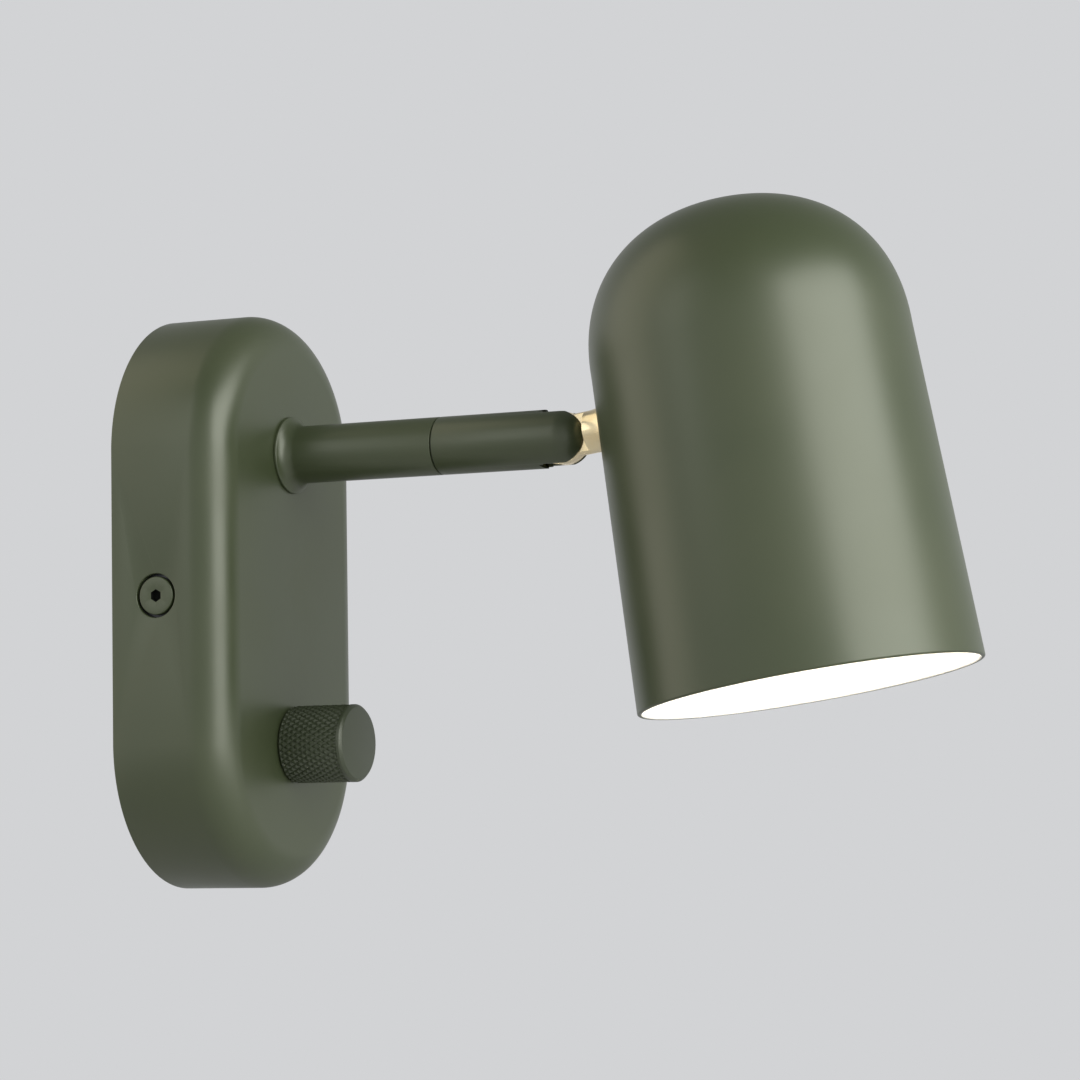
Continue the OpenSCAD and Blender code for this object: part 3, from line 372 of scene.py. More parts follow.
class Shared(Graph):
    """The inside of a node group that finishes share: what it does with a place and a number."""

    def __init__(self, effect: Effect) -> None:
        """Builds the group.

        Args:
            effect: which group.
        """
        super().__init__(bpy.data.node_groups.new(effect.title, "ShaderNodeTree"))
        for name, side, kind in (
            ("Vector", "INPUT", "NodeSocketVector"), (effect.number, "INPUT", "NodeSocketFloat"),
            *((name, "OUTPUT", "NodeSocketFloat") for name in effect.outputs),
        ):
            self.tree.interface.new_socket(name, in_out=side, socket_type=kind)
        entry = self.add("NodeGroupInput").outputs
        self.place, self.number = entry["Vector"], entry[effect.number]
        fill = {
            Effect.SKIN: self.skin, Effect.TURNED: self.tool_lines,
            Effect.SPANGLED: self.spangle, Effect.STRIPED: self.stripes,
            Effect.BOARD: self.tracks, Effect.WEAR: self.wear, Effect.DUST: self.dust,
        }[effect]
        self.add("NodeGroupOutput", dict(zip(effect.outputs, fill())))

    def skin(self) -> tuple[Socket, ...]:
        """Fine unevenness of powder paint and moulded plastic, and a slow drift of tone."""
        drift = self.noise(self.place, self.product(self.number, 0.018))
        return self.noise(self.place, self.number, 3.0), self.rise(drift, 0.3, 0.7)

    def wear(self) -> tuple[Socket, ...]:
        """Marks the sharpest outer edges, broken up by noise.

        Returns:
            What feeds Mask.
        """
        point = self.add("ShaderNodeNewGeometry").outputs["Pointiness"]
        patch = self.rise(self.noise(self.place, 420.0, 4.0), 0.35, 0.65, 0.25)
        return (self.product(self.rise(point, 0.53, 0.62), patch, self.number),)

    def dust(self) -> tuple[Socket, ...]:
        """Marks dust on faces that look up, broken up by noise.

        Returns:
            What feeds Mask.
        """
        up = self.part(self.add("ShaderNodeNewGeometry").outputs["Normal"], "Z")
        specks = self.rise(self.noise(self.place, 900.0, 5.0), 0.4, 0.75, 0.3)
        return (self.product(self.rise(up, 0.35, 1.0), specks, self.number),)

    def tool_lines(self) -> tuple[Socket, ...]:
        """Fine lines round a turned piece, read along its z, that are duller in places.

        Returns:
            What feeds Height and Tone.
        """
        wires = {"W": self.part(self.place, "Z"), "Scale": self.number, "Detail": 2.0}
        line = self.add("ShaderNodeTexNoise", wires, noise_dimensions="1D").outputs[0]
        return line, self.rise(self.noise(self.place, 260.0, 3.0), 0.3, 0.7)

    def spangle(self) -> tuple[Socket, ...]:
        """Crystal patches of bright zinc plate over faint rolling lines.

        Returns:
            What feeds Height and Tone.
        """
        wires = {"Vector": self.place, "Scale": self.number}
        crystals = self.add("ShaderNodeTexVoronoi", wires).outputs["Color"]
        wires = {"Vector": self.place, "Scale": (1.0, 1.0, 0.06)}
        rolled = self.noise(self.add("ShaderNodeMapping", wires).outputs[0], 2600.0, 3.0)
        return rolled, self.add("ShaderNodeSeparateColor", {0: crystals}).outputs[0]

    def stripes(self) -> tuple[Socket, ...]:
        """Stripes along a lead's sleeve, with the print's slight waver.

        Returns:
            What feeds Height and Tone.
        """
        waver = self.product(self.noise(self.place, 9.0), 0.08)
        turn = self.calc("ADD", self.part(self.place, "Y"), waver)
        wave = self.calc("SINE", self.product(turn, self.number))
        return self.noise(self.place, 60.0), self.rise(wave, -0.15, 0.15)

    def tracks(self) -> tuple[Socket, ...]:
        """Raised tracks of a circuit board, as the joints of bricks, under a fine weave.

        Returns:
            What feeds Height and Tone.
        """
        wires = {"Vector": self.place, "Scale": self.number, "Mortar Size": 0.03}
        tracks = self.add("ShaderNodeTexBrick", wires).outputs["Fac"]
        weave = self.product(self.noise(self.place, 3000.0), 0.2)
        return self.calc("ADD", tracks, weave), tracks


@dataclass(frozen=True)
class Finish:
    """A surface finish, as numbers for one shader."""

    name: str
    slot: str
    colour: Colour
    tone: Colour
    metallic: float = 0.0
    roughness: float = 0.5
    rough_spread: float = 0.06
    texture: Effect = Effect.SKIN
    cells: float = 1400.0
    depth: float = 6e-6
    wear: float = 0.0
    wear_colour: Colour = (0.3, 0.3, 0.3, 1.0)
    dust: float = 0.0
    dust_colour: Colour = srgb(205, 203, 196)
    dust_dulls: float = 0.3
    coat: float = 0.0
    coat_roughness: float = 0.1
    specular: float = 0.5
    specular_tint: Colour = (1.0, 1.0, 1.0, 1.0)
    glow: Colour = (1.0, 1.0, 1.0, 1.0)
    glow_strength: float = 0.0
    axis: Matrix | None = None

    def build(self) -> bpy.types.Material:
        """Makes the material, once.

        Returns:
            The material.
        """
        known = bpy.data.materials.get(self.name)
        if known:
            return known
        material = bpy.data.materials.new(self.name)
        material.use_nodes = True
        material.node_tree.nodes.clear()
        graph = Graph(material.node_tree)
        place = self._place(graph)
        texture = graph.effect(self.texture, place, self.cells)
        colour = graph.blend(texture["Tone"], self.colour, self.tone)
        rough, spread = self.roughness, self.rough_spread
        roughness = graph.rise(texture["Tone"], 0.0, 1.0, rough - spread, rough + spread)
        if self.wear:
            worn = graph.effect(Effect.WEAR, place, self.wear)["Mask"]
            colour = graph.blend(worn, colour, self.wear_colour)
        if self.dust:
            laid = graph.effect(Effect.DUST, place, self.dust)["Mask"]
            colour = graph.blend(laid, colour, self.dust_colour)
            roughness = graph.calc("ADD", roughness, graph.product(laid, self.dust_dulls))
        wires = {"Height": texture["Height"], "Strength": 1.0, "Distance": self.depth}
        shader = graph.add("ShaderNodeBsdfPrincipled", {
            "Base Color": colour,
            "Roughness": roughness,
            "Metallic": self.metallic,
            "Normal": graph.add("ShaderNodeBump", wires).outputs[0],
            "Coat Weight": self.coat,
            "Coat Roughness": self.coat_roughness,
            "Specular IOR Level": self.specular,
            "Specular Tint": self.specular_tint,
            "Emission Color": self.glow,
            "Emission Strength": self.glow_strength,
        })
        graph.add("ShaderNodeOutputMaterial", {"Surface": shader.outputs[0]})
        material.diffuse_color = self.colour
        return material

    def _place(self, graph: Graph) -> Socket:
        """Places the coordinates: a lead's own length and turn, or a piece's, along its axis.

        Args:
            graph: the material's graph.

        Returns:
            The coordinates.
        """
        coordinates = graph.add("ShaderNodeTexCoord").outputs
        if self.texture is Effect.STRIPED:
            return coordinates["UV"]
        if self.axis is None:
            return coordinates["Object"]
        wires = {
            "Vector": coordinates["Object"],
            "Location": self.axis.translation * MM,
            "Rotation": self.axis.to_euler(),
        }
        return graph.add("ShaderNodeMapping", wires, vector_type="TEXTURE").outputs[0]


@dataclass(frozen=True)
class Finishes:
    """Every finish on the lamp."""

    olive: Finish = Finish(
        "olive powder paint", "cover_paint", srgb(60, 69, 44), srgb(64, 72, 47),
        roughness=0.38, rough_spread=0.03, cells=1500.0, depth=7e-6,
        wear=0.12, wear_colour=srgb(96, 104, 82), dust=0.01, specular=0.88,
        specular_tint=(0.98, 1.0, 0.88, 1.0),
    )
    arm_olive: Finish = replace(olive, name="olive arm paint", slot="arm_paint")
    shade_olive: Finish = replace(
        olive, name="olive shade paint", slot="shade_paint", rough_spread=0.02, depth=6e-6,
        wear=0.1,
    )
    # The olive paint, darkened as painted shade for the shadow in the knurl's grooves.
    shaded_knob_olive: Finish = replace(
        olive, name="olive knob paint with painted shade", slot="knob_paint", colour=srgb(50, 58, 39),
        tone=srgb(54, 62, 42), roughness=0.4, rough_spread=0.04, cells=1800.0, depth=4e-6,
        wear=0.1, wear_colour=srgb(112, 119, 96),
    )
    shade_white: Finish = Finish(
        "white paint inside the shade", "shade_paint", srgb(246, 245, 241), srgb(240, 238, 233),
        roughness=0.55, cells=1500.0, depth=6e-6,
    )
    polished_brass: Finish = Finish(
        "satin brass", "polished_brass", srgb(255, 238, 196), srgb(254, 232, 184),
        metallic=0.9, roughness=0.22, rough_spread=0.03, texture=Effect.TURNED,
        cells=5200.0, depth=5e-7, axis=LAYOUT.pin(),
    )
    plain_brass: Finish = Finish(
        "turned brass", "plain_brass", srgb(214, 184, 118), srgb(196, 164, 98),
        metallic=1.0, roughness=0.3, texture=Effect.TURNED, cells=4200.0, depth=2e-6,
        wear=0.3, wear_colour=srgb(238, 214, 150),
    )
    zinc: Finish = Finish(
        "zinc plated steel", "zinc_steel", srgb(196, 198, 198), srgb(172, 176, 180),
        metallic=1.0, roughness=0.34, rough_spread=0.09, texture=Effect.SPANGLED,
        cells=260.0, depth=1.5e-6, wear=0.2, wear_colour=srgb(226, 228, 228),
    )
    # Near-black zinc on the plate's faces behind the side screws: painted shade seen through the
    # gap round each screw head.
    lug_shade_zinc: Finish = Finish(
        "zinc darkened with painted shade", "zinc_steel", srgb(50, 51, 53), srgb(46, 47, 50),
        metallic=1.0, roughness=0.42, cells=1500.0, depth=3e-6,
        wear=0.3, wear_colour=srgb(120, 121, 122),
    )
    # Near-black, dull and barely glossy: painted shade deep in the screws' hexagon sockets.
    socket_shade: Finish = Finish(
        "painted shade in the socket", "cover_paint", srgb(16, 18, 15), srgb(24, 26, 22),
        roughness=0.9, cells=1800.0, depth=4e-6, specular=0.1,
    )
    dark_steel: Finish = Finish(
        "blackened steel", "dark_steel", srgb(62, 62, 64), srgb(48, 48, 51),
        metallic=1.0, roughness=0.38, texture=Effect.SPANGLED, cells=700.0, depth=1e-6,
        wear=0.5, wear_colour=srgb(130, 130, 132),
    )
    rubber: Finish = Finish(
        "black rubber", "black_rubber", srgb(34, 34, 35), srgb(42, 42, 43),
        roughness=0.72, cells=2600.0, depth=9e-6, dust=0.12,
    )
    white_plastic: Finish = Finish(
        "white moulded plastic", "white_plastic", srgb(232, 231, 224), srgb(224, 222, 213),
        roughness=0.42, cells=2200.0, depth=5e-6, dust=0.05,
    )
    black_plastic: Finish = Finish(
        "black moulded plastic", "black_plastic", srgb(38, 38, 40), srgb(46, 46, 48),
        roughness=0.46, cells=2400.0, depth=7e-6, wear=0.3, wear_colour=srgb(84, 84, 86),
        dust=0.05,
    )
    green_board: Finish = Finish(
        "lacquered circuit board", "green_board", srgb(24, 84, 46), srgb(58, 122, 66),
        roughness=0.3, texture=Effect.BOARD, cells=240.0, depth=3e-5, coat=0.5,
    )
    copper: Finish = Finish(
        "lacquered copper", "copper_parts", srgb(204, 128, 84), srgb(184, 104, 62),
        metallic=1.0, roughness=0.28, texture=Effect.TURNED, cells=3400.0, depth=6e-6,
        coat=0.6,
    )
    earth: Finish = Finish(
        "green and yellow sleeve", "earth_sleeve", srgb(40, 120, 52), srgb(236, 204, 38),
        roughness=0.4, rough_spread=0.02, texture=Effect.STRIPED, cells=12.566, depth=3e-6,
    )
    brown: Finish = Finish(
        "brown sleeve", "brown_sleeve", srgb(98, 62, 38), srgb(108, 70, 44),
        roughness=0.4, cells=2600.0, depth=3e-6,
    )
    blue: Finish = Finish(
        "blue sleeve", "blue_sleeve", srgb(34, 92, 164), srgb(42, 102, 176),
        roughness=0.4, cells=2600.0, depth=3e-6,
    )
    opal: Finish = Finish(
        "lit opal glass", "opal_glass", srgb(250, 248, 242), srgb(246, 243, 235),
        roughness=0.2, rough_spread=0.02, cells=500.0, depth=2e-6, coat=0.8,
        coat_roughness=0.05, glow=srgb(255, 246, 230), glow_strength=9.0,
    )


FINISHES = Finishes()


class Form:
    """A mesh being shaped with bmesh operators, in millimetres in its own frame."""

    def __init__(self) -> None:
        """Starts empty."""
        self.bm = bmesh.new()

    def lathe(self, outline: Outline, steps: int, closed: bool = False) -> "Form":
        """Turns an outline round the Z axis.

        Args:
            outline: (radius, height) points in order.
            steps: number of faces round the axis.
            closed: True if the last point joins the first.

        Returns:
            This form.
        """
        verts = [self.bm.verts.new((radius, 0, height)) for radius, height in outline]
        ends = list(zip(verts, verts[1:])) + ([(verts[-1], verts[0])] if closed else [])
        edges = [self.bm.edges.new(pair) for pair in ends]
        bmesh.ops.spin(
            self.bm, geom=verts + edges, cent=(0, 0, 0), axis=(0, 0, 1), dvec=(0, 0, 0),
            angle=math.tau, steps=steps, use_merge=True, use_duplicate=False,
        )
        return self.tidy()

    def rod(self, radius: float, low: float, high: float, sides: int = Sides.ROD) -> "Form":
        """Adds a closed cylinder or prism along Z.

        Args:
            radius: its radius, to the corners.
            low, high: the heights of its ends.
            sides: number of sides.

        Returns:
            This form.
        """
        bmesh.ops.create_cone(
            self.bm, cap_ends=True, segments=sides, radius1=radius, radius2=radius,
            depth=high - low, matrix=Matrix.Translation((0, 0, (low + high) / 2)),
        )
        return self

    def block(self, low: Sequence[float], high: Sequence[float]) -> "Form":
        """Adds a box between two corners.

        Args:
            low, high: its lowest and highest corner.

        Returns:
            This form.
        """
        size = [b - a for a, b in zip(low, high)]
        middle = [(a + b) / 2 for a, b in zip(low, high)]
        matrix = Matrix.Translation(middle) @ Matrix.Diagonal((*size, 1))
        bmesh.ops.create_cube(self.bm, size=1, matrix=matrix)
        return self

    def obround(
        self, width: float, height: float, depth: float, edge: float, steps: int = 24
    ) -> "Form":
        """Adds an obround block, flat at z = 0 and rounded round its front.

        Args:
            width, height, depth: its outer sizes.
            edge: radius of the front rounding.
            steps: number of faces across the rounding.

        Returns:
            This form.
        """
        bmesh.ops.create_circle(
            self.bm, cap_ends=True, segments=Sides.COVER, radius=width / 2,
            matrix=Matrix.Rotation(math.pi / Sides.COVER, 4, "Z"),
        )
        shift = (height - width) / 2
        for vert in self.bm.verts:
            vert.co.y += shift if vert.co.y > 0 else -shift
        made = bmesh.ops.extrude_face_region(self.bm, geom=self.bm.faces[:])["geom"]
        top = [item for item in made if isinstance(item, bmesh.types.BMVert)]
        bmesh.ops.translate(self.bm, verts=top, vec=(0, 0, depth))
        rim = [e for e in self.bm.edges if all(abs(v.co.z - depth) < MERGE for v in e.verts)]
        bmesh.ops.bevel(
            self.bm, geom=rim, offset=edge, offset_type="OFFSET", segments=steps,
            profile=0.5, affect="EDGES", material=-1, clamp_overlap=False,
        )
        return self.tidy()

    def tidy(self) -> "Form":
        """Merges doubles and turns every face outwards.

        Returns:
            This form.
        """
        bmesh.ops.remove_doubles(self.bm, verts=self.bm.verts[:], dist=MERGE)
        bmesh.ops.recalc_face_normals(self.bm, faces=self.bm.faces[:])
        return self

    def soften(
        self, offset: float, segments: int, sharper: float = 50.0,
        where: Callable[[Vector], bool] | None = None,
    ) -> "Form":
        """Bevels sharp edges.

        Args:
            offset: width of the bevel.
            segments: number of faces across it.
            sharper: the least angle between faces, in degrees.
            where: picks edges by their middle; all of them if left out.

        Returns:
            This form.
        """
        least = math.radians(sharper)
        sharp = [
            edge for edge in self.bm.edges
            if edge.is_manifold and edge.calc_face_angle(0.0) > least
            and (where is None or where((edge.verts[0].co + edge.verts[1].co) / 2))
        ]
        bmesh.ops.bevel(
            self.bm, geom=sharp, offset=offset, offset_type="OFFSET", segments=segments,
            profile=0.5, affect="EDGES", material=-1, clamp_overlap=True,
        )
        return self

    def placed(self, matrix: Matrix) -> "Form":
        """Moves the form.

        Args:
            matrix: the frame it goes to.

        Returns:
            This form.
        """
        bmesh.ops.transform(self.bm, matrix=matrix, verts=self.bm.verts[:])
        return self

    def mesh(self, name: str = "passing") -> bpy.types.Mesh:
        """Writes the form to a new mesh.

        Args:
            name: the mesh's name.

        Returns:
            The mesh.
        """
        mesh = bpy.data.meshes.new(name)
        self.bm.to_mesh(mesh)
        return mesh

    def add(self, mesh: bpy.types.Mesh) -> None:
        """Adds a passing mesh, which is used up."""
        self.bm.from_mesh(mesh)
        bpy.data.meshes.remove(mesh)

    def carve(self, how: Carve, *others: "Form") -> "Form":
        """Cuts or joins the form with others, one after the other.

        Args:
            how: what each does to it.
            others: the other forms, which are used up.

        Returns:
            This form.
        """
        for other in others:
            mine, theirs = put("passing", self.mesh()), put("passing", other.mesh())
            step = mine.modifiers.new("carve", "BOOLEAN")
            step.operation, step.object, step.solver = how.value, theirs, "EXACT"
            evaluated = mine.evaluated_get(bpy.context.evaluated_depsgraph_get())
            self.bm.clear()
            self.add(bpy.data.meshes.new_from_object(evaluated))
            for mesh in (mine.data, theirs.data):
                bpy.data.meshes.remove(mesh)
            other.bm.free()
            bmesh.ops.remove_doubles(self.bm, verts=self.bm.verts[:], dist=WELD)
            bmesh.ops.dissolve_degenerate(self.bm, edges=self.bm.edges[:], dist=MERGE)
        return self

    def piece(
        self, name: str, finish: Finish, body: Body, place: Matrix, replaces: Sequence[str],
        smooth: float = 32.0,
    ) -> bpy.types.Object:
        """Makes the finished piece: an object at the origin with its place in its mesh.

        Args:
            name: the piece's name.
            finish: its finish.
            body: the body it rides on.
            place: the frame of the form, in millimetres.
            replaces: the model's nodes that it stands for.
            smooth: edges with a wider angle than this, in degrees, stay sharp.

        Returns:
            The object.
        """
        mesh = self.placed(Matrix.Scale(MM, 4) @ place).mesh(name)
        self.bm.free()
        mesh.shade_smooth()
        mesh.set_sharp_from_angle(angle=math.radians(smooth))
        mesh.materials.append(finish.build())
        made = put(name, mesh)
        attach(made, body.value)
        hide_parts(*replaces)
        LOG.info("%s: %d faces on %s", name, len(mesh.polygons), body.value)
        return made


class Assembly:
    """A sub-assembly: some pieces it builds, and some nodes of the model that it dresses."""

    dresses: ClassVar[Mapping[str, Finish]] = {}

    def build(self) -> None:
        """Builds the pieces. A sub-assembly with pieces of its own overrides this."""

    def dress(self, nodes: Mapping[str, bpy.types.Object]) -> None:
        """Gives the model's own nodes their finishes.

        Args:
            nodes: the model's objects by name.
        """
        for name, finish in self.dresses.items():
            node = nodes[name]
            if not node.material_slots:
                node.data.materials.append(None)
            for slot in node.material_slots:
                slot.link = "OBJECT"
                slot.material = finish.build()
            LOG.info("%s: %s", name, finish.name)


@dataclass
class WallCover(Assembly):
    """The obround cover on the wall, its two side screws and the plate behind it."""

    width: float = 80.4
    height: float = 160.0
    wall: float = 2.0
    front: float = 2.4
    rounding: float = 10.7
    screw_out: float = 13.9
    head_d: float = 10.4
    ring: float = 0.8
    head_t: float = 2.1
    lug_x: float = 38.0
    shank_d: float = 4.0
    shank_len: float = 7.0
    socket: float = 3.0
    socket_deep: float = 1.4
    arm_hole_d: float = 10.6
    knob_hole_d: float = 9.6
    edge_ease: float = 0.28
    edges_below: float = 21.9
    head_ease: float = 0.35
    socket_ease: float = 0.1
    dresses = {"mounting_plate": FINISHES.zinc, "entry_grommet": FINISHES.rubber}

    def dress(self, nodes: Mapping[str, bpy.types.Object]) -> None:
        """Gives the nodes their finishes, and the plate's faces round the side screws a dark
        finish: painted shade in the gap round each screw head.

        Args:
            nodes: the model's objects by name.
        """
        super().dress(nodes)
        plate = nodes["mounting_plate"]
        plate.data.materials.append(FINISHES.lug_shade_zinc.build())
        # Faces out at the lugs take the dark zinc: painted shade in the gaps round the screw heads.
        near_end = (self.lug_x - self.head_t) * MM
        for face in plate.data.polygons:
            if abs(face.center.x) > near_end:
                face.material_index = 1

    def build(self) -> None:
        """Builds the cover and the screws."""
        self.cover()
        self.screws()

    def cover(self) -> None:
        """Builds the shell: an obround block, hollowed, with its holes and eased edges."""
        depth = LAYOUT.cover_d
        shell = Form().obround(self.width, self.height, depth, self.rounding)
        inside = Form().obround(
            self.width - 2 * self.wall, self.height - 2 * self.wall,
            depth - self.front + BEYOND, self.rounding - self.wall,
        )
        rings = Form().rod(self.head_d / 2 + self.ring, -self.width, self.width, Sides.RING)
        cutters = [
            inside.placed(Matrix.Translation((0, 0, -BEYOND))),
            rings.placed(across(self.screw_out)),
        ]
        for up, size in ((LAYOUT.arm_up, self.arm_hole_d), (-LAYOUT.knob_down, self.knob_hole_d)):
            hole = Form().rod(size / 2, BEYOND, depth + 5 * BEYOND)
            cutters.append(hole.placed(Matrix.Translation((0, up, 0))))
        shell.carve(Carve.AWAY, *cutters)
        shell.soften(self.edge_ease, 3, where=lambda p: p.z < self.edges_below)
        shell.piece("wall_cover", FINISHES.olive, Body.WALL, LAYOUT.wall(), ("cover",))

    def screws(self) -> None:
        """Builds two flat screws with eased heads and hexagon sockets, painted with the cover, with
        painted shade in the sockets.
        """
        pair, corner = Form(), self.socket / math.sqrt(3)
        deep, top = self.head_t - self.socket_deep, self.head_t
        between = (self.head_d / 2 + corner) / 2
        for side in (-1, 1):
            head = Form().lathe([
                (0, -self.shank_len), (self.shank_d / 2, -self.shank_len), (self.shank_d / 2, 0),
                (self.head_d / 2, 0), (self.head_d / 2, top), (0, top),
            ], Sides.RING)
            head.carve(Carve.AWAY, Form().rod(corner, deep, top + BEYOND, 6))
            for ease, steps, low, outside in (
                (self.head_ease, 4, top / 2, True), (self.socket_ease, 2, top - NEAR, False)
            ):
                head.soften(
                    ease, steps, where=lambda p: p.z > low and (p.xy.length > between) == outside
                )
            turn = Matrix.Rotation(side * math.pi / 2, 4, "Y")
            at = Matrix.Translation((side * self.lug_x, 0, self.screw_out))
            pair.add(head.placed(at @ turn).mesh())
            head.bm.free()
        # Faces inside each hexagon socket take the near-black finish: painted shade in the recess.
        for flat in pair.bm.faces:
            middle = flat.calc_center_median()
            from_axis = math.hypot(middle.y, middle.z - self.screw_out)
            sunk = 0 < abs(middle.x) - self.lug_x < top - NEAR
            flat.material_index = int(sunk and from_axis < corner)
        made = pair.piece(
            "cover_side_screws", FINISHES.olive, Body.WALL, LAYOUT.wall(), ("cover_screws",)
        )
        # The second material is the painted shade for the sockets.
        made.data.materials.append(FINISHES.socket_shade.build())


@dataclass
class Arm(Assembly):
    """The arm: a flared foot, and an outer half that swivels and ends in a slotted ball."""

    foot_d: float = 21.5
    foot_rim: float = 0.8
    foot_run: float = 4.0
    nipple_r: float = 5.05
    nipple_seat: float = 8.3
    spindle_grip: float = 19.0
    journal: float = 16.11
    slot_w: float = 6.4
    slot_r: float = 9.27
    flat_half: float = 7.0
    flat_back: float = 4.5
    pin_d: float = 4.1
    pin_head_d: float = 7.6
    pin_head_at: float = 5.2
    pin_tip_at: float = -6.5
    grub_d: float = 3.1
    grub_at: float = 89.64
    turned_ease: float = 0.22
    slot_ease: float = 0.16
    slot_eased: float = 10.0
    dresses = {
        "arm_nipple": FINISHES.zinc,
        "arm_washer": FINISHES.zinc,
        "arm_nut": FINISHES.zinc,
        "swivel_spindle": FINISHES.plain_brass,
        "swivel_washer": FINISHES.black_plastic,
        "swivel_grub_screw": FINISHES.dark_steel,
        "tilt_screw": FINISHES.dark_steel,
        "tilt_washers": FINISHES.black_plastic,
    }

    def build(self) -> None:
        """Builds the two halves."""
        self.foot()
        self.tip()

    def foot(self) -> None:
        """Builds the inner half: a rim on the cover, a hollow curve, and the tube to the line."""
        back, end = LAYOUT.cover_d, LAYOUT.swivel_out - LAYOUT.swivel_line / 2
        radius, step = LAYOUT.arm_d / 2, (self.foot_d - LAYOUT.arm_d) / 2
        curve = step / 2 + self.foot_run**2 / (2 * step)
        rim = back + self.foot_rim
        top = rim + self.foot_run
        sweep = math.asin(self.foot_run / curve)
        hollow = arc((radius + curve, top), curve, math.pi + sweep, math.pi, steps=16)
        grip, seat = end - self.spindle_grip, back + self.nipple_seat
        outline = [
            (self.nipple_r, back), (self.foot_d / 2, back), (self.foot_d / 2, rim),
            *hollow[1:-1], (radius, top), (radius, end), (LAYOUT.spindle_d / 2, end),
            (LAYOUT.spindle_d / 2, grip), (LAYOUT.spindle_bore_d / 2, grip),
            (LAYOUT.spindle_bore_d / 2, seat), (self.nipple_r, seat),
        ]
        form = Form().lathe(outline, Sides.TURNED, closed=True)
        form.soften(self.turned_ease, 3, 40.0, lambda p: p.xy.length > radius - NEAR)
        form.piece("arm_foot_turned", FINISHES.arm_olive, Body.WALL, LAYOUT.wall(LAYOUT.arm_up),
                   ("arm_foot",))

    def tip(self) -> None:
        """Builds the outer half: tube and ball turned in one, then slotted and flattened."""
        start = LAYOUT.swivel_out + LAYOUT.swivel_line / 2
        pin, radius, wide = LAYOUT.pin_out, LAYOUT.arm_d / 2, LAYOUT.arm_d
        half_slot, half_bore = self.slot_w / 2, LAYOUT.spindle_bore_d / 2
        ball = arc((0, pin), radius, 0, math.pi / 2, steps=32)
        form = Form().lathe(
            [(0, start), (radius, start), *ball[:-1], (0, pin + radius)], Sides.TURNED
        )
        form.soften(self.turned_ease, 3, 40.0, lambda p: p.z < start + NEAR)
        at_pin, at_grub = across(pin), across(self.grub_at)
        cutters = [
            Form().rod(LAYOUT.spindle_d / 2, start - 5 * BEYOND, LAYOUT.swivel_out + self.journal),
            Form().rod(half_bore, start, pin),
            Form().rod(self.slot_r, -half_slot, half_slot, Sides.RING).placed(at_pin),
            Form().block((-half_slot, -wide, pin), (half_slot, wide, pin + wide)),
            Form().rod(self.grub_d / 2, 0, wide, Sides.HOLE).placed(at_grub),
            Form().rod(self.pin_d / 2, self.pin_tip_at, wide, Sides.HOLE).placed(at_pin),
            Form().rod(self.pin_head_d / 2, self.pin_head_at, wide, Sides.PIN).placed(at_pin),
        ]
        for low, high in ((-wide, -self.flat_half), (self.flat_half, wide)):
            cutters.append(
                Form().block((-wide, low, pin - self.flat_back), (wide, high, pin + wide))
            )
        form.carve(Carve.AWAY, *cutters)
        form.soften(self.slot_ease, 2, 35.0, lambda p: p.z > pin - self.slot_eased)
        form.piece("arm_tip_slotted", FINISHES.arm_olive, Body.TIP, LAYOUT.wall(LAYOUT.arm_up),
                   ("arm_tip",))


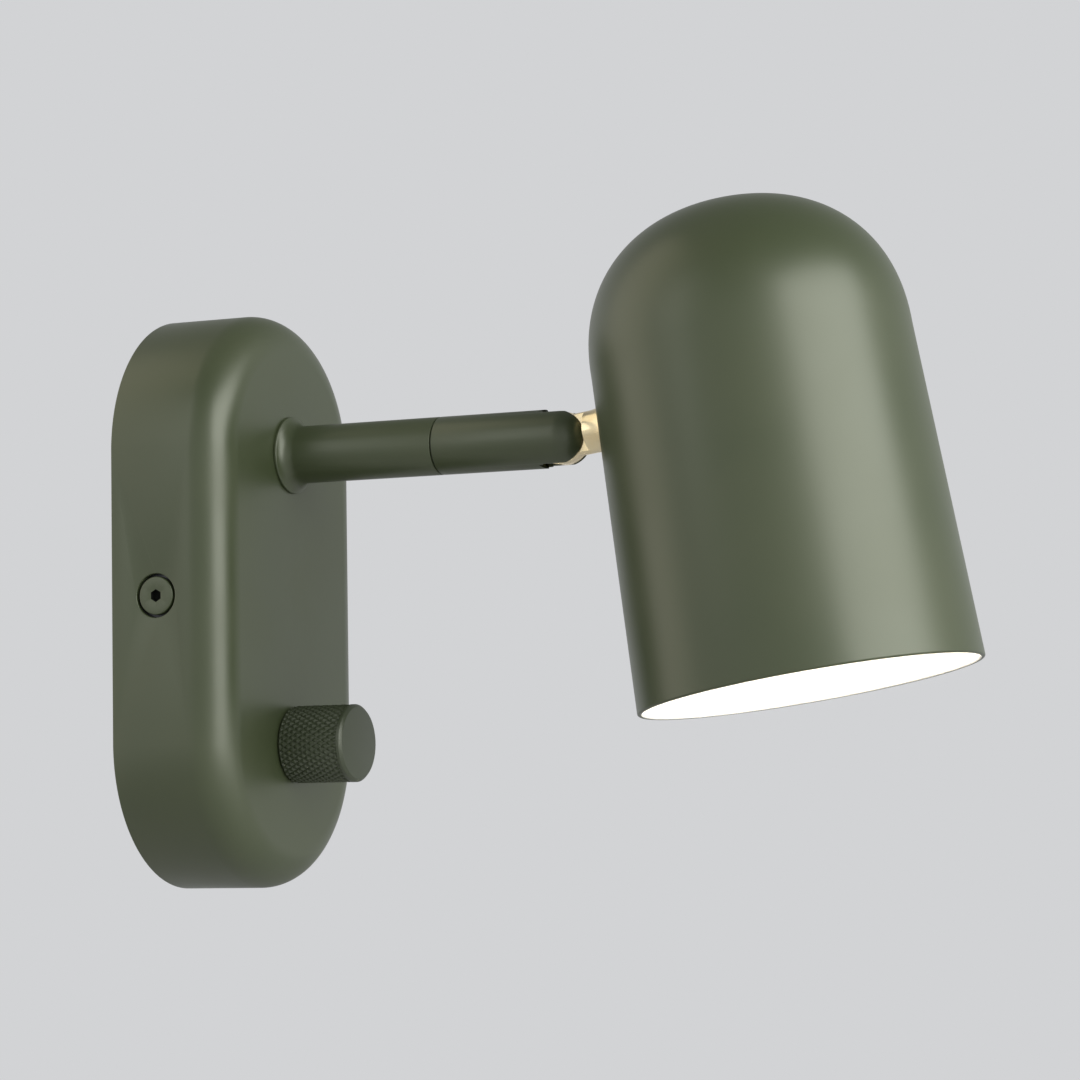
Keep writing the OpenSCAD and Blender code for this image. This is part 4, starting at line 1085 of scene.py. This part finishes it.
@dataclass
class Knuckle(Assembly):
    """The brass tongue between the arm's ball and the shade, and the nut that holds it."""

    thickness: float = 5.4
    eye_r: float = 7.2
    waist_r: float = 5.8
    waist_at: float = 8.6
    flare_r: float = 16.6
    collar_r: float = 6.9
    ball_clear: float = 8.35
    thread_r: float = 5.0
    thread_from: float = 10.0
    pin_r: float = 2.05
    boss_r: float = 3.2
    wire_r: float = 5.6
    wire_w: float = 3.8
    exit_top: float = -1.0
    wire_bore_r: float = 1.9
    bore_from: float = 4.0
    waist_ease: float = 0.3
    eye_ease: float = 0.35
    cutter_half: float = 20.0
    pin_half: float = 5.0
    dresses = {"tongue_nut": FINISHES.plain_brass}

    def build(self) -> None:
        """Builds the tongue: an eye and a waisted neck fitted to the shade, in one piece."""
        half, wide, clear = self.thickness / 2, self.cutter_half, self.ball_clear
        neck = Form().lathe(self._neck(), Sides.TURNED)
        for low, high in ((-wide, -half), (half, wide)):
            neck.carve(Carve.AWAY, Form().block((low, -wide, -BEYOND), (high, wide, clear)))
        neck.soften(self.waist_ease, 3, where=lambda p: p.z > clear - NEAR)
        shade_r, dome_r = LAYOUT.shade_r + LAYOUT.face_gap, LAYOUT.dome_r + LAYOUT.face_gap
        cone = Form().lathe(
            [(0, 0), (shade_r, 0), (dome_r, LAYOUT.cone_h), (0, LAYOUT.cone_h)], Sides.SHELL
        )
        neck.carve(Carve.AWAY, cone.placed(LAYOUT.pin().inverted() @ LAYOUT.shade()))
        end = LAYOUT.tongue_end
        eye = Form().rod(self.eye_r, -half, half, Sides.RING).soften(self.eye_ease, 3)
        thread = Form().rod(self.thread_r, self.thread_from, end)
        neck.carve(Carve.TOGETHER, eye.placed(across()), thread)
        way_w, way_out = self.wire_w / 2, self.eye_r + BEYOND
        way = Form().rod(self.wire_r, -way_w, way_w).placed(across())
        exit_way = Form().block((-way_w, -way_out, -way_out), (way_w, way_out, self.exit_top))
        way.carve(Carve.TOGETHER, exit_way)
        span = (-self.pin_half, self.pin_half)
        way.carve(Carve.AWAY, Form().rod(self.boss_r, *span).placed(across()))
        bore = Form().rod(self.wire_bore_r, self.bore_from, end + BEYOND, Sides.HOLE)
        pin = Form().rod(self.pin_r, *span, Sides.PIN).placed(across())
        neck.carve(Carve.AWAY, bore, way, pin)
        neck.piece("knuckle_tongue", FINISHES.polished_brass, Body.HEAD, LAYOUT.pin(), ("tongue",))

    def _neck(self) -> Outline:
        """Finds the outline of the waist and its shallow hollow curve out to the shade.

        Returns:
            (radius, height) points.
        """
        centre = self.waist_r + self.flare_r
        last = math.acos((centre - self.collar_r) / self.flare_r)
        curve = arc((centre, self.waist_at), self.flare_r, math.pi, math.pi - last, steps=20)
        top = LAYOUT.tongue_reach + BEYOND
        return [(0, 0), (self.waist_r, 0), *curve, (self.collar_r, top), (0, top)]


@dataclass
class Shade(Assembly):
    """The bell shade, olive outside and white inside."""

    dome_steps: int = 72
    tongue_hole_d: float = 10.6
    rim_share: float = 0.42
    facing_in: float = -0.35
    dresses = {"holder_bracket": FINISHES.zinc}

    def bell(self, inset: float) -> Outline:
        """Finds the outline of the bell from its opening to its top.

        Args:
            inset: how far inside the outer surface.

        Returns:
            (radius, height) points.
        """
        side = [(LAYOUT.shade_r - inset, 0.0)]
        for k in range(self.dome_steps + 1):
            turn = math.pi / 2 * k / self.dome_steps
            out = math.cos(turn) ** (2 / LAYOUT.dome_power) if k < self.dome_steps else 0.0
            up = math.sin(turn) ** (2 / LAYOUT.dome_power)
            side.append((
                (LAYOUT.dome_r - inset) * out, LAYOUT.cone_h + (LAYOUT.dome_h - inset) * up
            ))
        return side

    def build(self) -> None:
        """Builds the shade with a rounded rim and the hole for the tongue."""
        wall = LAYOUT.shade_wall
        form = Form().lathe([*reversed(self.bell(wall)), *self.bell(0.0)], Sides.SHELL)
        form.soften(wall * self.rim_share, 4, where=lambda p: p.z < NEAR)
        at = LAYOUT.tongue_reach
        hole = Form().rod(self.tongue_hole_d / 2, at - 3 * BEYOND, at + 5 * BEYOND)
        form.carve(Carve.AWAY, hole.placed(LAYOUT.shade().inverted() @ LAYOUT.pin()))
        for face in form.bm.faces:
            middle = face.calc_center_median()
            outward = middle - Vector((0, 0, min(middle.z, LAYOUT.cone_h)))
            face.material_index = int(face.normal.dot(outward.normalized()) < self.facing_in)
        made = form.piece(
            "bell_shade", FINISHES.shade_olive, Body.HEAD, LAYOUT.shade(), ("shade",), 40.0
        )
        made.data.materials.append(FINISHES.shade_white.build())


@dataclass
class Lamp(Assembly):
    """The golf-ball lamp and the holder it screws into."""

    globe_r: float = 22.5
    globe_wall: float = 1.0
    globe_up: float = 39.5
    join_rise: float = 11.5
    neck_r: float = 9.5
    neck_rim: float = 2.0
    base_low: float = 70.7
    neck_ease: float = 0.5
    dresses = {
        "holder_nipple": FINISHES.zinc,
        "holder_nut": FINISHES.zinc,
        "holder_cap": FINISHES.black_plastic,
        "holder_body": FINISHES.black_plastic,
        "holder_shell": FINISHES.plain_brass,
        "holder_contact": FINISHES.copper,
        "lamp_base": FINISHES.zinc,
    }

    def build(self) -> None:
        """Builds the globe and its neck."""
        middle, pole = (0, self.globe_up), -math.pi / 2
        outside, inside = (
            arc(middle, radius, pole, pole + math.acos(-self.join_rise / radius), steps=48)
            for radius in (self.globe_r, self.globe_r - self.globe_wall)
        )
        globe = Form().lathe([*outside, *reversed(inside)], Sides.TURNED)
        globe.piece("opal_globe", FINISHES.opal, Body.HEAD, LAYOUT.shade(), ("lamp_globe",))
        join_r = math.sqrt(self.globe_r**2 - self.join_rise**2)
        low, high, ease = self.globe_up + self.join_rise, self.base_low, self.neck_ease
        neck = Form().lathe([
            (0, low), (join_r, low), (join_r, low + self.neck_rim / 2),
            (self.neck_r, high - self.neck_rim), (self.neck_r, high), (0, high),
        ], Sides.RING)
        neck.soften(ease, 4, 20.0, lambda p: low + ease < p.z < high - ease)
        neck.piece("lamp_collar", FINISHES.white_plastic, Body.HEAD, LAYOUT.shade(), ("lamp_neck",))


@dataclass
class Dimmer(Assembly):
    """The dimmer behind the cover and its knurled knob."""

    radius: float = 10.75
    length: float = 19.6
    gap: float = 0.5
    chamfer: float = 0.8
    back_edge: float = 0.4
    recess_r: float = 8.5
    recess: float = 5.0
    bore_r: float = 3.05
    bore: float = 15.9
    land: float = 0.8
    starts: int = 38
    lead: float = 2.9
    tooth_deep: float = 0.5
    per_tooth: int = 8
    crest: float = 1.35
    back_share: float = 0.75
    back_run: float = 0.4
    front_run: float = 0.3
    face_ease: float = 0.12
    grub_r: float = 1.55
    grub_at: float = 10.0
    dresses = {
        "dimmer_case": FINISHES.black_plastic,
        "dimmer_lid": FINISHES.black_plastic,
        "dimmer_board": FINISHES.green_board,
        "dimmer_components": FINISHES.copper,
        "dimmer_control": FINISHES.zinc,
        "dimmer_washer": FINISHES.zinc,
        "dimmer_nut": FINISHES.zinc,
        "dimmer_shaft": FINISHES.zinc,
        "knob_grub_screw": FINISHES.dark_steel,
    }

    def tooth(self, angle: float, height: float) -> float:
        """Finds the height of the diamond knurl at a place on the knob.

        Args:
            angle: angle round the knob, in radians.
            height: height along it.

        Returns:
            The share of the tooth's depth, from 0 in a groove to 1 on a tooth.
        """
        round_part, along = angle * self.starts / math.tau, height / self.lead
        sides = [1 - abs(2 * ((round_part + sign * along) % 1) - 1) for sign in (-1, 1)]
        return min(1.0, min(sides) * self.crest)

    def build(self) -> None:
        """Builds the knob: turned with its recess and chamfer, then knurled round its side."""
        low, high = self.back_edge, self.length - self.chamfer
        last = high - self.land
        rows = round((last - low) / self.lead * self.per_tooth)
        side = [(self.radius, low + (last - low) * k / rows) for k in range(rows + 1)]
        outline = [
            (0, self.bore), (self.bore_r, self.bore), (self.bore_r, self.recess),
            (self.recess_r, self.recess), (self.recess_r, 0), (self.radius - self.back_edge, 0),
            *side, (self.radius, high), (self.radius - self.chamfer, self.length),
            (0, self.length),
        ]
        knob = Form().lathe(outline, self.starts * self.per_tooth)
        for vert in knob.bm.verts:
            if vert.co.xy.length < self.radius - NEAR or not low < vert.co.z < last - NEAR:
                continue
            from_back = (vert.co.z - low) / self.back_run + self.back_share
            fade = min(1.0, from_back, (last - vert.co.z) / self.front_run)
            angle = math.atan2(vert.co.y, vert.co.x)
            sunk = self.tooth_deep * fade * (1 - self.tooth(angle, vert.co.z))
            vert.co.xy *= (self.radius - sunk) / self.radius
        knob.soften(self.face_ease, 2, 30.0, lambda p: p.z > high - NEAR)
        bore = Form().rod(self.grub_r, 0, self.radius + 2 * BEYOND, Sides.HOLE)
        knob.carve(Carve.AWAY, bore.placed(across(self.grub_at)))
        place = LAYOUT.wall(-LAYOUT.knob_down, LAYOUT.cover_d + self.gap)
        # The knob takes the darker copy of the olive paint: painted shade of the knurl.
        knob.piece("knurled_knob", FINISHES.shaded_knob_olive, Body.KNOB, place, ("knob",), 28.0)


@dataclass
class Wiring(Assembly):
    """The terminal block, the earth tag, the single leads and the two cables."""

    lead_d: float = 2.0
    arm_cable_d: float = 5.2
    head_cable_d: float = 3.0
    cable_from: float = 22.0
    cable_to: float = 105.7
    core_end: float = 21.7
    core_spread: float = 1.5
    core_straight: float = 4.0
    cap_low: float = 95.2
    dresses = {
        "terminal_block": FINISHES.white_plastic,
        "terminal_sleeves": FINISHES.plain_brass,
        "terminal_screws": FINISHES.zinc,
        "block_screws": FINISHES.zinc,
        "earth_tag": FINISHES.plain_brass,
        "earth_screw": FINISHES.plain_brass,
    }

    def core(self, turn: float) -> list[Point]:
        """Finds the last two points of a lead, where it meets its core of the arm's cable.

        Args:
            turn: the core's place round the cable, in degrees from the top.

        Returns:
            The point before the end, and the end.
        """
        x = self.core_spread * math.sin(math.radians(turn))
        y = LAYOUT.arm_up + self.core_spread * math.cos(math.radians(turn))
        return [(x, y, self.core_end - self.core_straight), (x, y, self.core_end)]

    def build(self) -> None:
        """Builds every lead and cable."""
        high = [(x, 28.5, 8.0) for x in (-9.0, 0.0, 9.0)]
        earth_in = [(-24, 0.5, 3.95), (-24, 4, 3.95), (-24, 6.5, 4.45), (-17, 9, 7),
                    (-9, 11.5, 8), (-9, 15.5, 8)]
        earth_out = [high[0], (-9, 32.5, 8.5), (-5, 40, 11), *self.core(-60)]
        neutral = [high[1], (0, 32.5, 8.5), (1, 36.5, 11), *self.core(180)]
        live = [(9, 15.5, 8), (9, 11, 8.5), (8, 0, 12), (5, -11, 19), (4, -15.4, 23.1),
                (4, -18.4, 23.1), (4, -23.4, 23.1)]
        dimmed = [(13, -23.4, 23.1), (13, -18.4, 23.1), (13, -15.4, 23.1), (18, -4, 21),
                  (25, 8, 19), (22, 26, 16), (12, 39, 12), (5, 42.5, 11.5), *self.core(60)]
        for name, node, finish, routes in (
            ("earth_lead_in", "earth_leads", FINISHES.earth, [earth_in, earth_out]),
            ("neutral_wire", "neutral_lead", FINISHES.blue, [neutral]),
            ("live_wire", "live_lead", FINISHES.brown, [live]),
            ("dimmed_wire", "dimmed_lead", FINISHES.brown, [dimmed]),
        ):
            self.lead(name, node, finish, routes, self.lead_d, Body.WALL, LAYOUT.wall())
        middle = (self.cable_from + self.cable_to) / 2
        arm = [(0, LAYOUT.arm_up, z) for z in (self.cable_from, middle, self.cable_to)]
        sheath = FINISHES.white_plastic
        self.lead("arm_cable_sheath", "arm_cable", sheath, [arm], self.arm_cable_d,
                  Body.WALL, LAYOUT.wall())
        sine, cosine = math.sin(LAYOUT.taper), math.cos(LAYOUT.taper)
        head = [
            *((0, LAYOUT.pin_r - reach * cosine, LAYOUT.pin_up - reach * sine)
              for reach in (9, 16, LAYOUT.tongue_end + 3)),
            (4, 28, 80), (10, 25, 88), (11.5, 24, 99), (11, 19, 111), (6, 9, 118.5),
            (1, 1.5, 119.5), (0, 0, 114), (0, 0, self.cap_low + 6),
        ]
        self.lead("head_cable_sheath", "head_cable", sheath, [head], self.head_cable_d,
                  Body.HEAD, LAYOUT.shade())

    @staticmethod
    def smooth(points: Sequence[Point], steps: int = 6) -> list[Vector]:
        """Finds a smooth curve through points.

        Args:
            points: the points.
            steps: number of steps from each to the next.

        Returns:
            The curve's points.
        """
        line = [Vector(p) for p in points]
        made = []
        for i in range(len(line) - 1):
            a, b = line[max(i - 1, 0)], line[i]
            c, d = line[i + 1], line[min(i + 2, len(line) - 1)]
            for k in range(steps):
                t = k / steps
                made.append(0.5 * (
                    2 * b + (c - a) * t + (2 * a - 5 * b + 4 * c - d) * t**2
                    + (3 * b - a - 3 * c + d) * t**3
                ))
        return [*made, line[-1]]

    def lead(
        self, name: str, node: str, finish: Finish, routes: Sequence[Sequence[Point]],
        diameter: float, body: Body, place: Matrix,
    ) -> None:
        """Builds a round lead along each of its routes.

        Args:
            name: the piece's name.
            node: the model's node that it stands for.
            finish: its finish.
            routes: the points of each length of lead.
            diameter: its diameter.
            body: the body it rides on.
            place: the frame of the routes.
        """
        curve = bpy.data.curves.new(name, "CURVE")
        curve.dimensions, curve.bevel_depth = "3D", diameter / 2
        curve.bevel_resolution, curve.use_fill_caps = 6, True
        for route in routes:
            points = self.smooth(route)
            spline = curve.splines.new("POLY")
            spline.points.add(len(points) - 1)
            for target, point in zip(spline.points, points):
                target.co = (*point, 1.0)
        passing = put("passing", curve)
        evaluated = passing.evaluated_get(bpy.context.evaluated_depsgraph_get())
        form = Form()
        form.add(bpy.data.meshes.new_from_object(evaluated))
        bpy.data.curves.remove(curve)
        form.tidy().piece(name, finish, body, place, (node,), 50.0)


@dataclass(frozen=True)
class SoftLight:
    """A soft rectangular light.

    It stands `turn` degrees from -X towards -Y and `rise` degrees up, `away` metres from the aim.
    """

    name: str
    turn: float
    rise: float
    width: float
    height: float
    power: float
    colour: Colour = (1.0, 1.0, 1.0, 1.0)
    away: float = 1.5


@dataclass(frozen=True)
class Studio:
    """Floor, background, soft lights and the camera at the photograph's angle."""

    shown: Colour = srgb(210, 211, 213)
    ambient_level: float = 0.97
    ambient_upright: float = 0.5
    gloss_upright: float = 0.25
    floor_at: Point = (0.0, -0.2, -0.42)
    floor_r: float = 2.2
    floor_ends: tuple[float, float] = (0.8, 1.9)
    floor_shown: tuple[Colour, Colour] = (srgb(196, 197, 199), srgb(188, 189, 191))
    floor_bounce: Colour = srgb(175, 175, 171)
    floor_roughness: float = 0.9
    aim: Point = (0.0, -0.11, 0.02)
    camera_mm: Point = (-893.927, -527.554, -63.370)
    camera_turn: float = 25.0073
    camera_rise: float = -4.4343
    camera_roll: float = -0.9014
    lens: float = 121.909
    sensor: float = 36.0
    clip: tuple[float, float] = (0.05, 20.0)
    lights: tuple[SoftLight, ...] = (
        SoftLight("key", 78.0, 18.0, 1.73, 1.4, 27.5),
        SoftLight("front", 42.0, 10.0, 0.8, 1.73, 1.0),
        SoftLight("card", -31.0, 22.0, 0.42, 1.0, 1.4),
        SoftLight("rim", -75.0, 20.0, 1.09, 2.52, 6.6, (1.0, 0.9, 0.72, 1.0)),
    )

    def build(self) -> None:
        """Sets the stage."""
        self.world()
        self.floor()
        for light in self.lights:
            self.soft_light(light)
        self.camera()
        bpy.context.scene.view_settings.view_transform = "Standard"

    @staticmethod
    def seen(graph: Graph) -> tuple[Socket, Socket]:
        """Finds the rays that show the background itself: the camera's, and glass's and gloss's.

        Args:
            graph: the node graph it stands in.

        Returns:
            A mask that is 1 for them, and the mask of the glossy rays alone.
        """
        path = graph.add("ShaderNodeLightPath").outputs
        straight = graph.calc("MAXIMUM", path["Is Camera Ray"], path["Is Transmission Ray"])
        return graph.calc("MAXIMUM", straight, path["Is Glossy Ray"]), path["Is Glossy Ray"]

    def world(self) -> None:
        """Sets a plain pale background, which lights less from straight above and below."""
        world = bpy.data.worlds.new("studio")
        world.use_nodes = True
        world.node_tree.nodes.clear()
        graph = Graph(world.node_tree)
        seen, gloss = self.seen(graph)
        toward = graph.add("ShaderNodeTexCoord").outputs["Generated"]
        upright = graph.calc("ABSOLUTE", graph.part(toward, "Z"))
        mirrored = graph.product(upright, gloss)
        strengths = (
            graph.rise(upright, 0.0, 1.0, self.ambient_level, self.ambient_upright),
            graph.rise(mirrored, 0.0, 1.0, 1.0, self.gloss_upright),
        )
        lit, plain = (
            graph.add("ShaderNodeBackground", {"Color": self.shown, "Strength": value}).outputs[0]
            for value in strengths
        )
        graph.add("ShaderNodeOutputWorld", {"Surface": graph.mix(seen, lit, plain)})
        bpy.context.scene.world = world

    def floor(self) -> None:
        """Builds a pale floor well below the lamp, clear from underneath, that ends softly."""
        shape = Form()
        bmesh.ops.create_circle(
            shape.bm, cap_ends=True, segments=Sides.RING, radius=self.floor_r,
            matrix=Matrix.Translation(self.floor_at),
        )
        made = put("studio_floor", shape.mesh("studio_floor"))
        shape.bm.free()
        made.data.materials.append(self.floor_material())

    def floor_material(self) -> bpy.types.Material:
        """Makes the floor's material: one tone for the eye, another for the light it throws back.

        Returns:
            The material.
        """
        material = bpy.data.materials.new("pale floor")
        material.use_nodes = True
        graph = Graph(material.node_tree)
        nodes = material.node_tree.nodes
        place = graph.add("ShaderNodeTexCoord").outputs["Object"]
        pale = graph.blend(graph.noise(place, 3.0, 3.0), *self.floor_shown)
        seen, _ = self.seen(graph)
        shader = nodes["Principled BSDF"]
        shader.inputs["Roughness"].default_value = self.floor_roughness
        tone = graph.blend(seen, self.floor_bounce, pale)
        graph.tree.links.new(tone, shader.inputs["Base Color"])
        below = graph.add("ShaderNodeNewGeometry").outputs["Backfacing"]
        out = graph.add("ShaderNodeVectorMath", {0: place}, operation="LENGTH").outputs["Value"]
        far = graph.product(graph.rise(out, *self.floor_ends), seen)
        gone = graph.calc("MAXIMUM", below, far)
        clear = graph.add("ShaderNodeBsdfTransparent").outputs[0]
        mixed = graph.mix(gone, shader.outputs[0], clear)
        graph.tree.links.new(mixed, nodes["Material Output"].inputs["Surface"])
        return material

    @staticmethod
    def facing(turn: float, rise: float) -> tuple[Vector, Matrix]:
        """Finds a direction out from the lamp, and the frame that looks back along it.

        Args:
            turn: its angle from -X towards -Y, in degrees.
            rise: its angle up from the horizon.

        Returns:
            The direction, and the frame's turn.
        """
        side, up = math.radians(turn), math.radians(rise)
        level = math.cos(up)
        out = Vector((-math.cos(side) * level, -math.sin(side) * level, math.sin(up)))
        return out, out.to_track_quat("Z", "Y").to_matrix().to_4x4()

    def soft_light(self, soft: SoftLight) -> None:
        """Places a soft light that looks at the lamp.

        Args:
            soft: the light's numbers.
        """
        data = bpy.data.lights.new(f"{soft.name}_light", "AREA")
        data.shape, data.size, data.size_y = "RECTANGLE", soft.width, soft.height
        data.energy, data.color = soft.power, soft.colour[:3]
        light = put(f"{soft.name}_light", data)
        out, turned = self.facing(soft.turn, soft.rise)
        light.matrix_world = Matrix.Translation(Vector(self.aim) + out * soft.away) @ turned
        light.visible_camera = False

    def camera(self) -> None:
        """Places the camera where the photograph was taken from."""
        data = bpy.data.cameras.new("photo_camera")
        data.lens, data.sensor_width, data.sensor_fit = self.lens, self.sensor, "HORIZONTAL"
        data.clip_start, data.clip_end = self.clip
        camera = put("photo_camera", data)
        _, turned = self.facing(self.camera_turn, self.camera_rise)
        leaned = turned @ Matrix.Rotation(math.radians(self.camera_roll), 4, "Z")
        camera.matrix_world = Matrix.Translation(Vector(self.camera_mm) * MM) @ leaned
        bpy.context.scene.camera = camera


def main() -> None:
    """Builds and dresses every sub-assembly, then the studio."""
    logging.basicConfig(level=logging.INFO, format="%(name)s %(message)s")
    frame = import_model()
    for assembly in (WallCover(), Arm(), Knuckle(), Shade(), Lamp(), Dimmer(), Wiring()):
        assembly.build()
        assembly.dress(frame["nodes"])
        LOG.info("%s done", type(assembly).__name__)
    Studio().build()


if __name__ == "__main__":
    main()
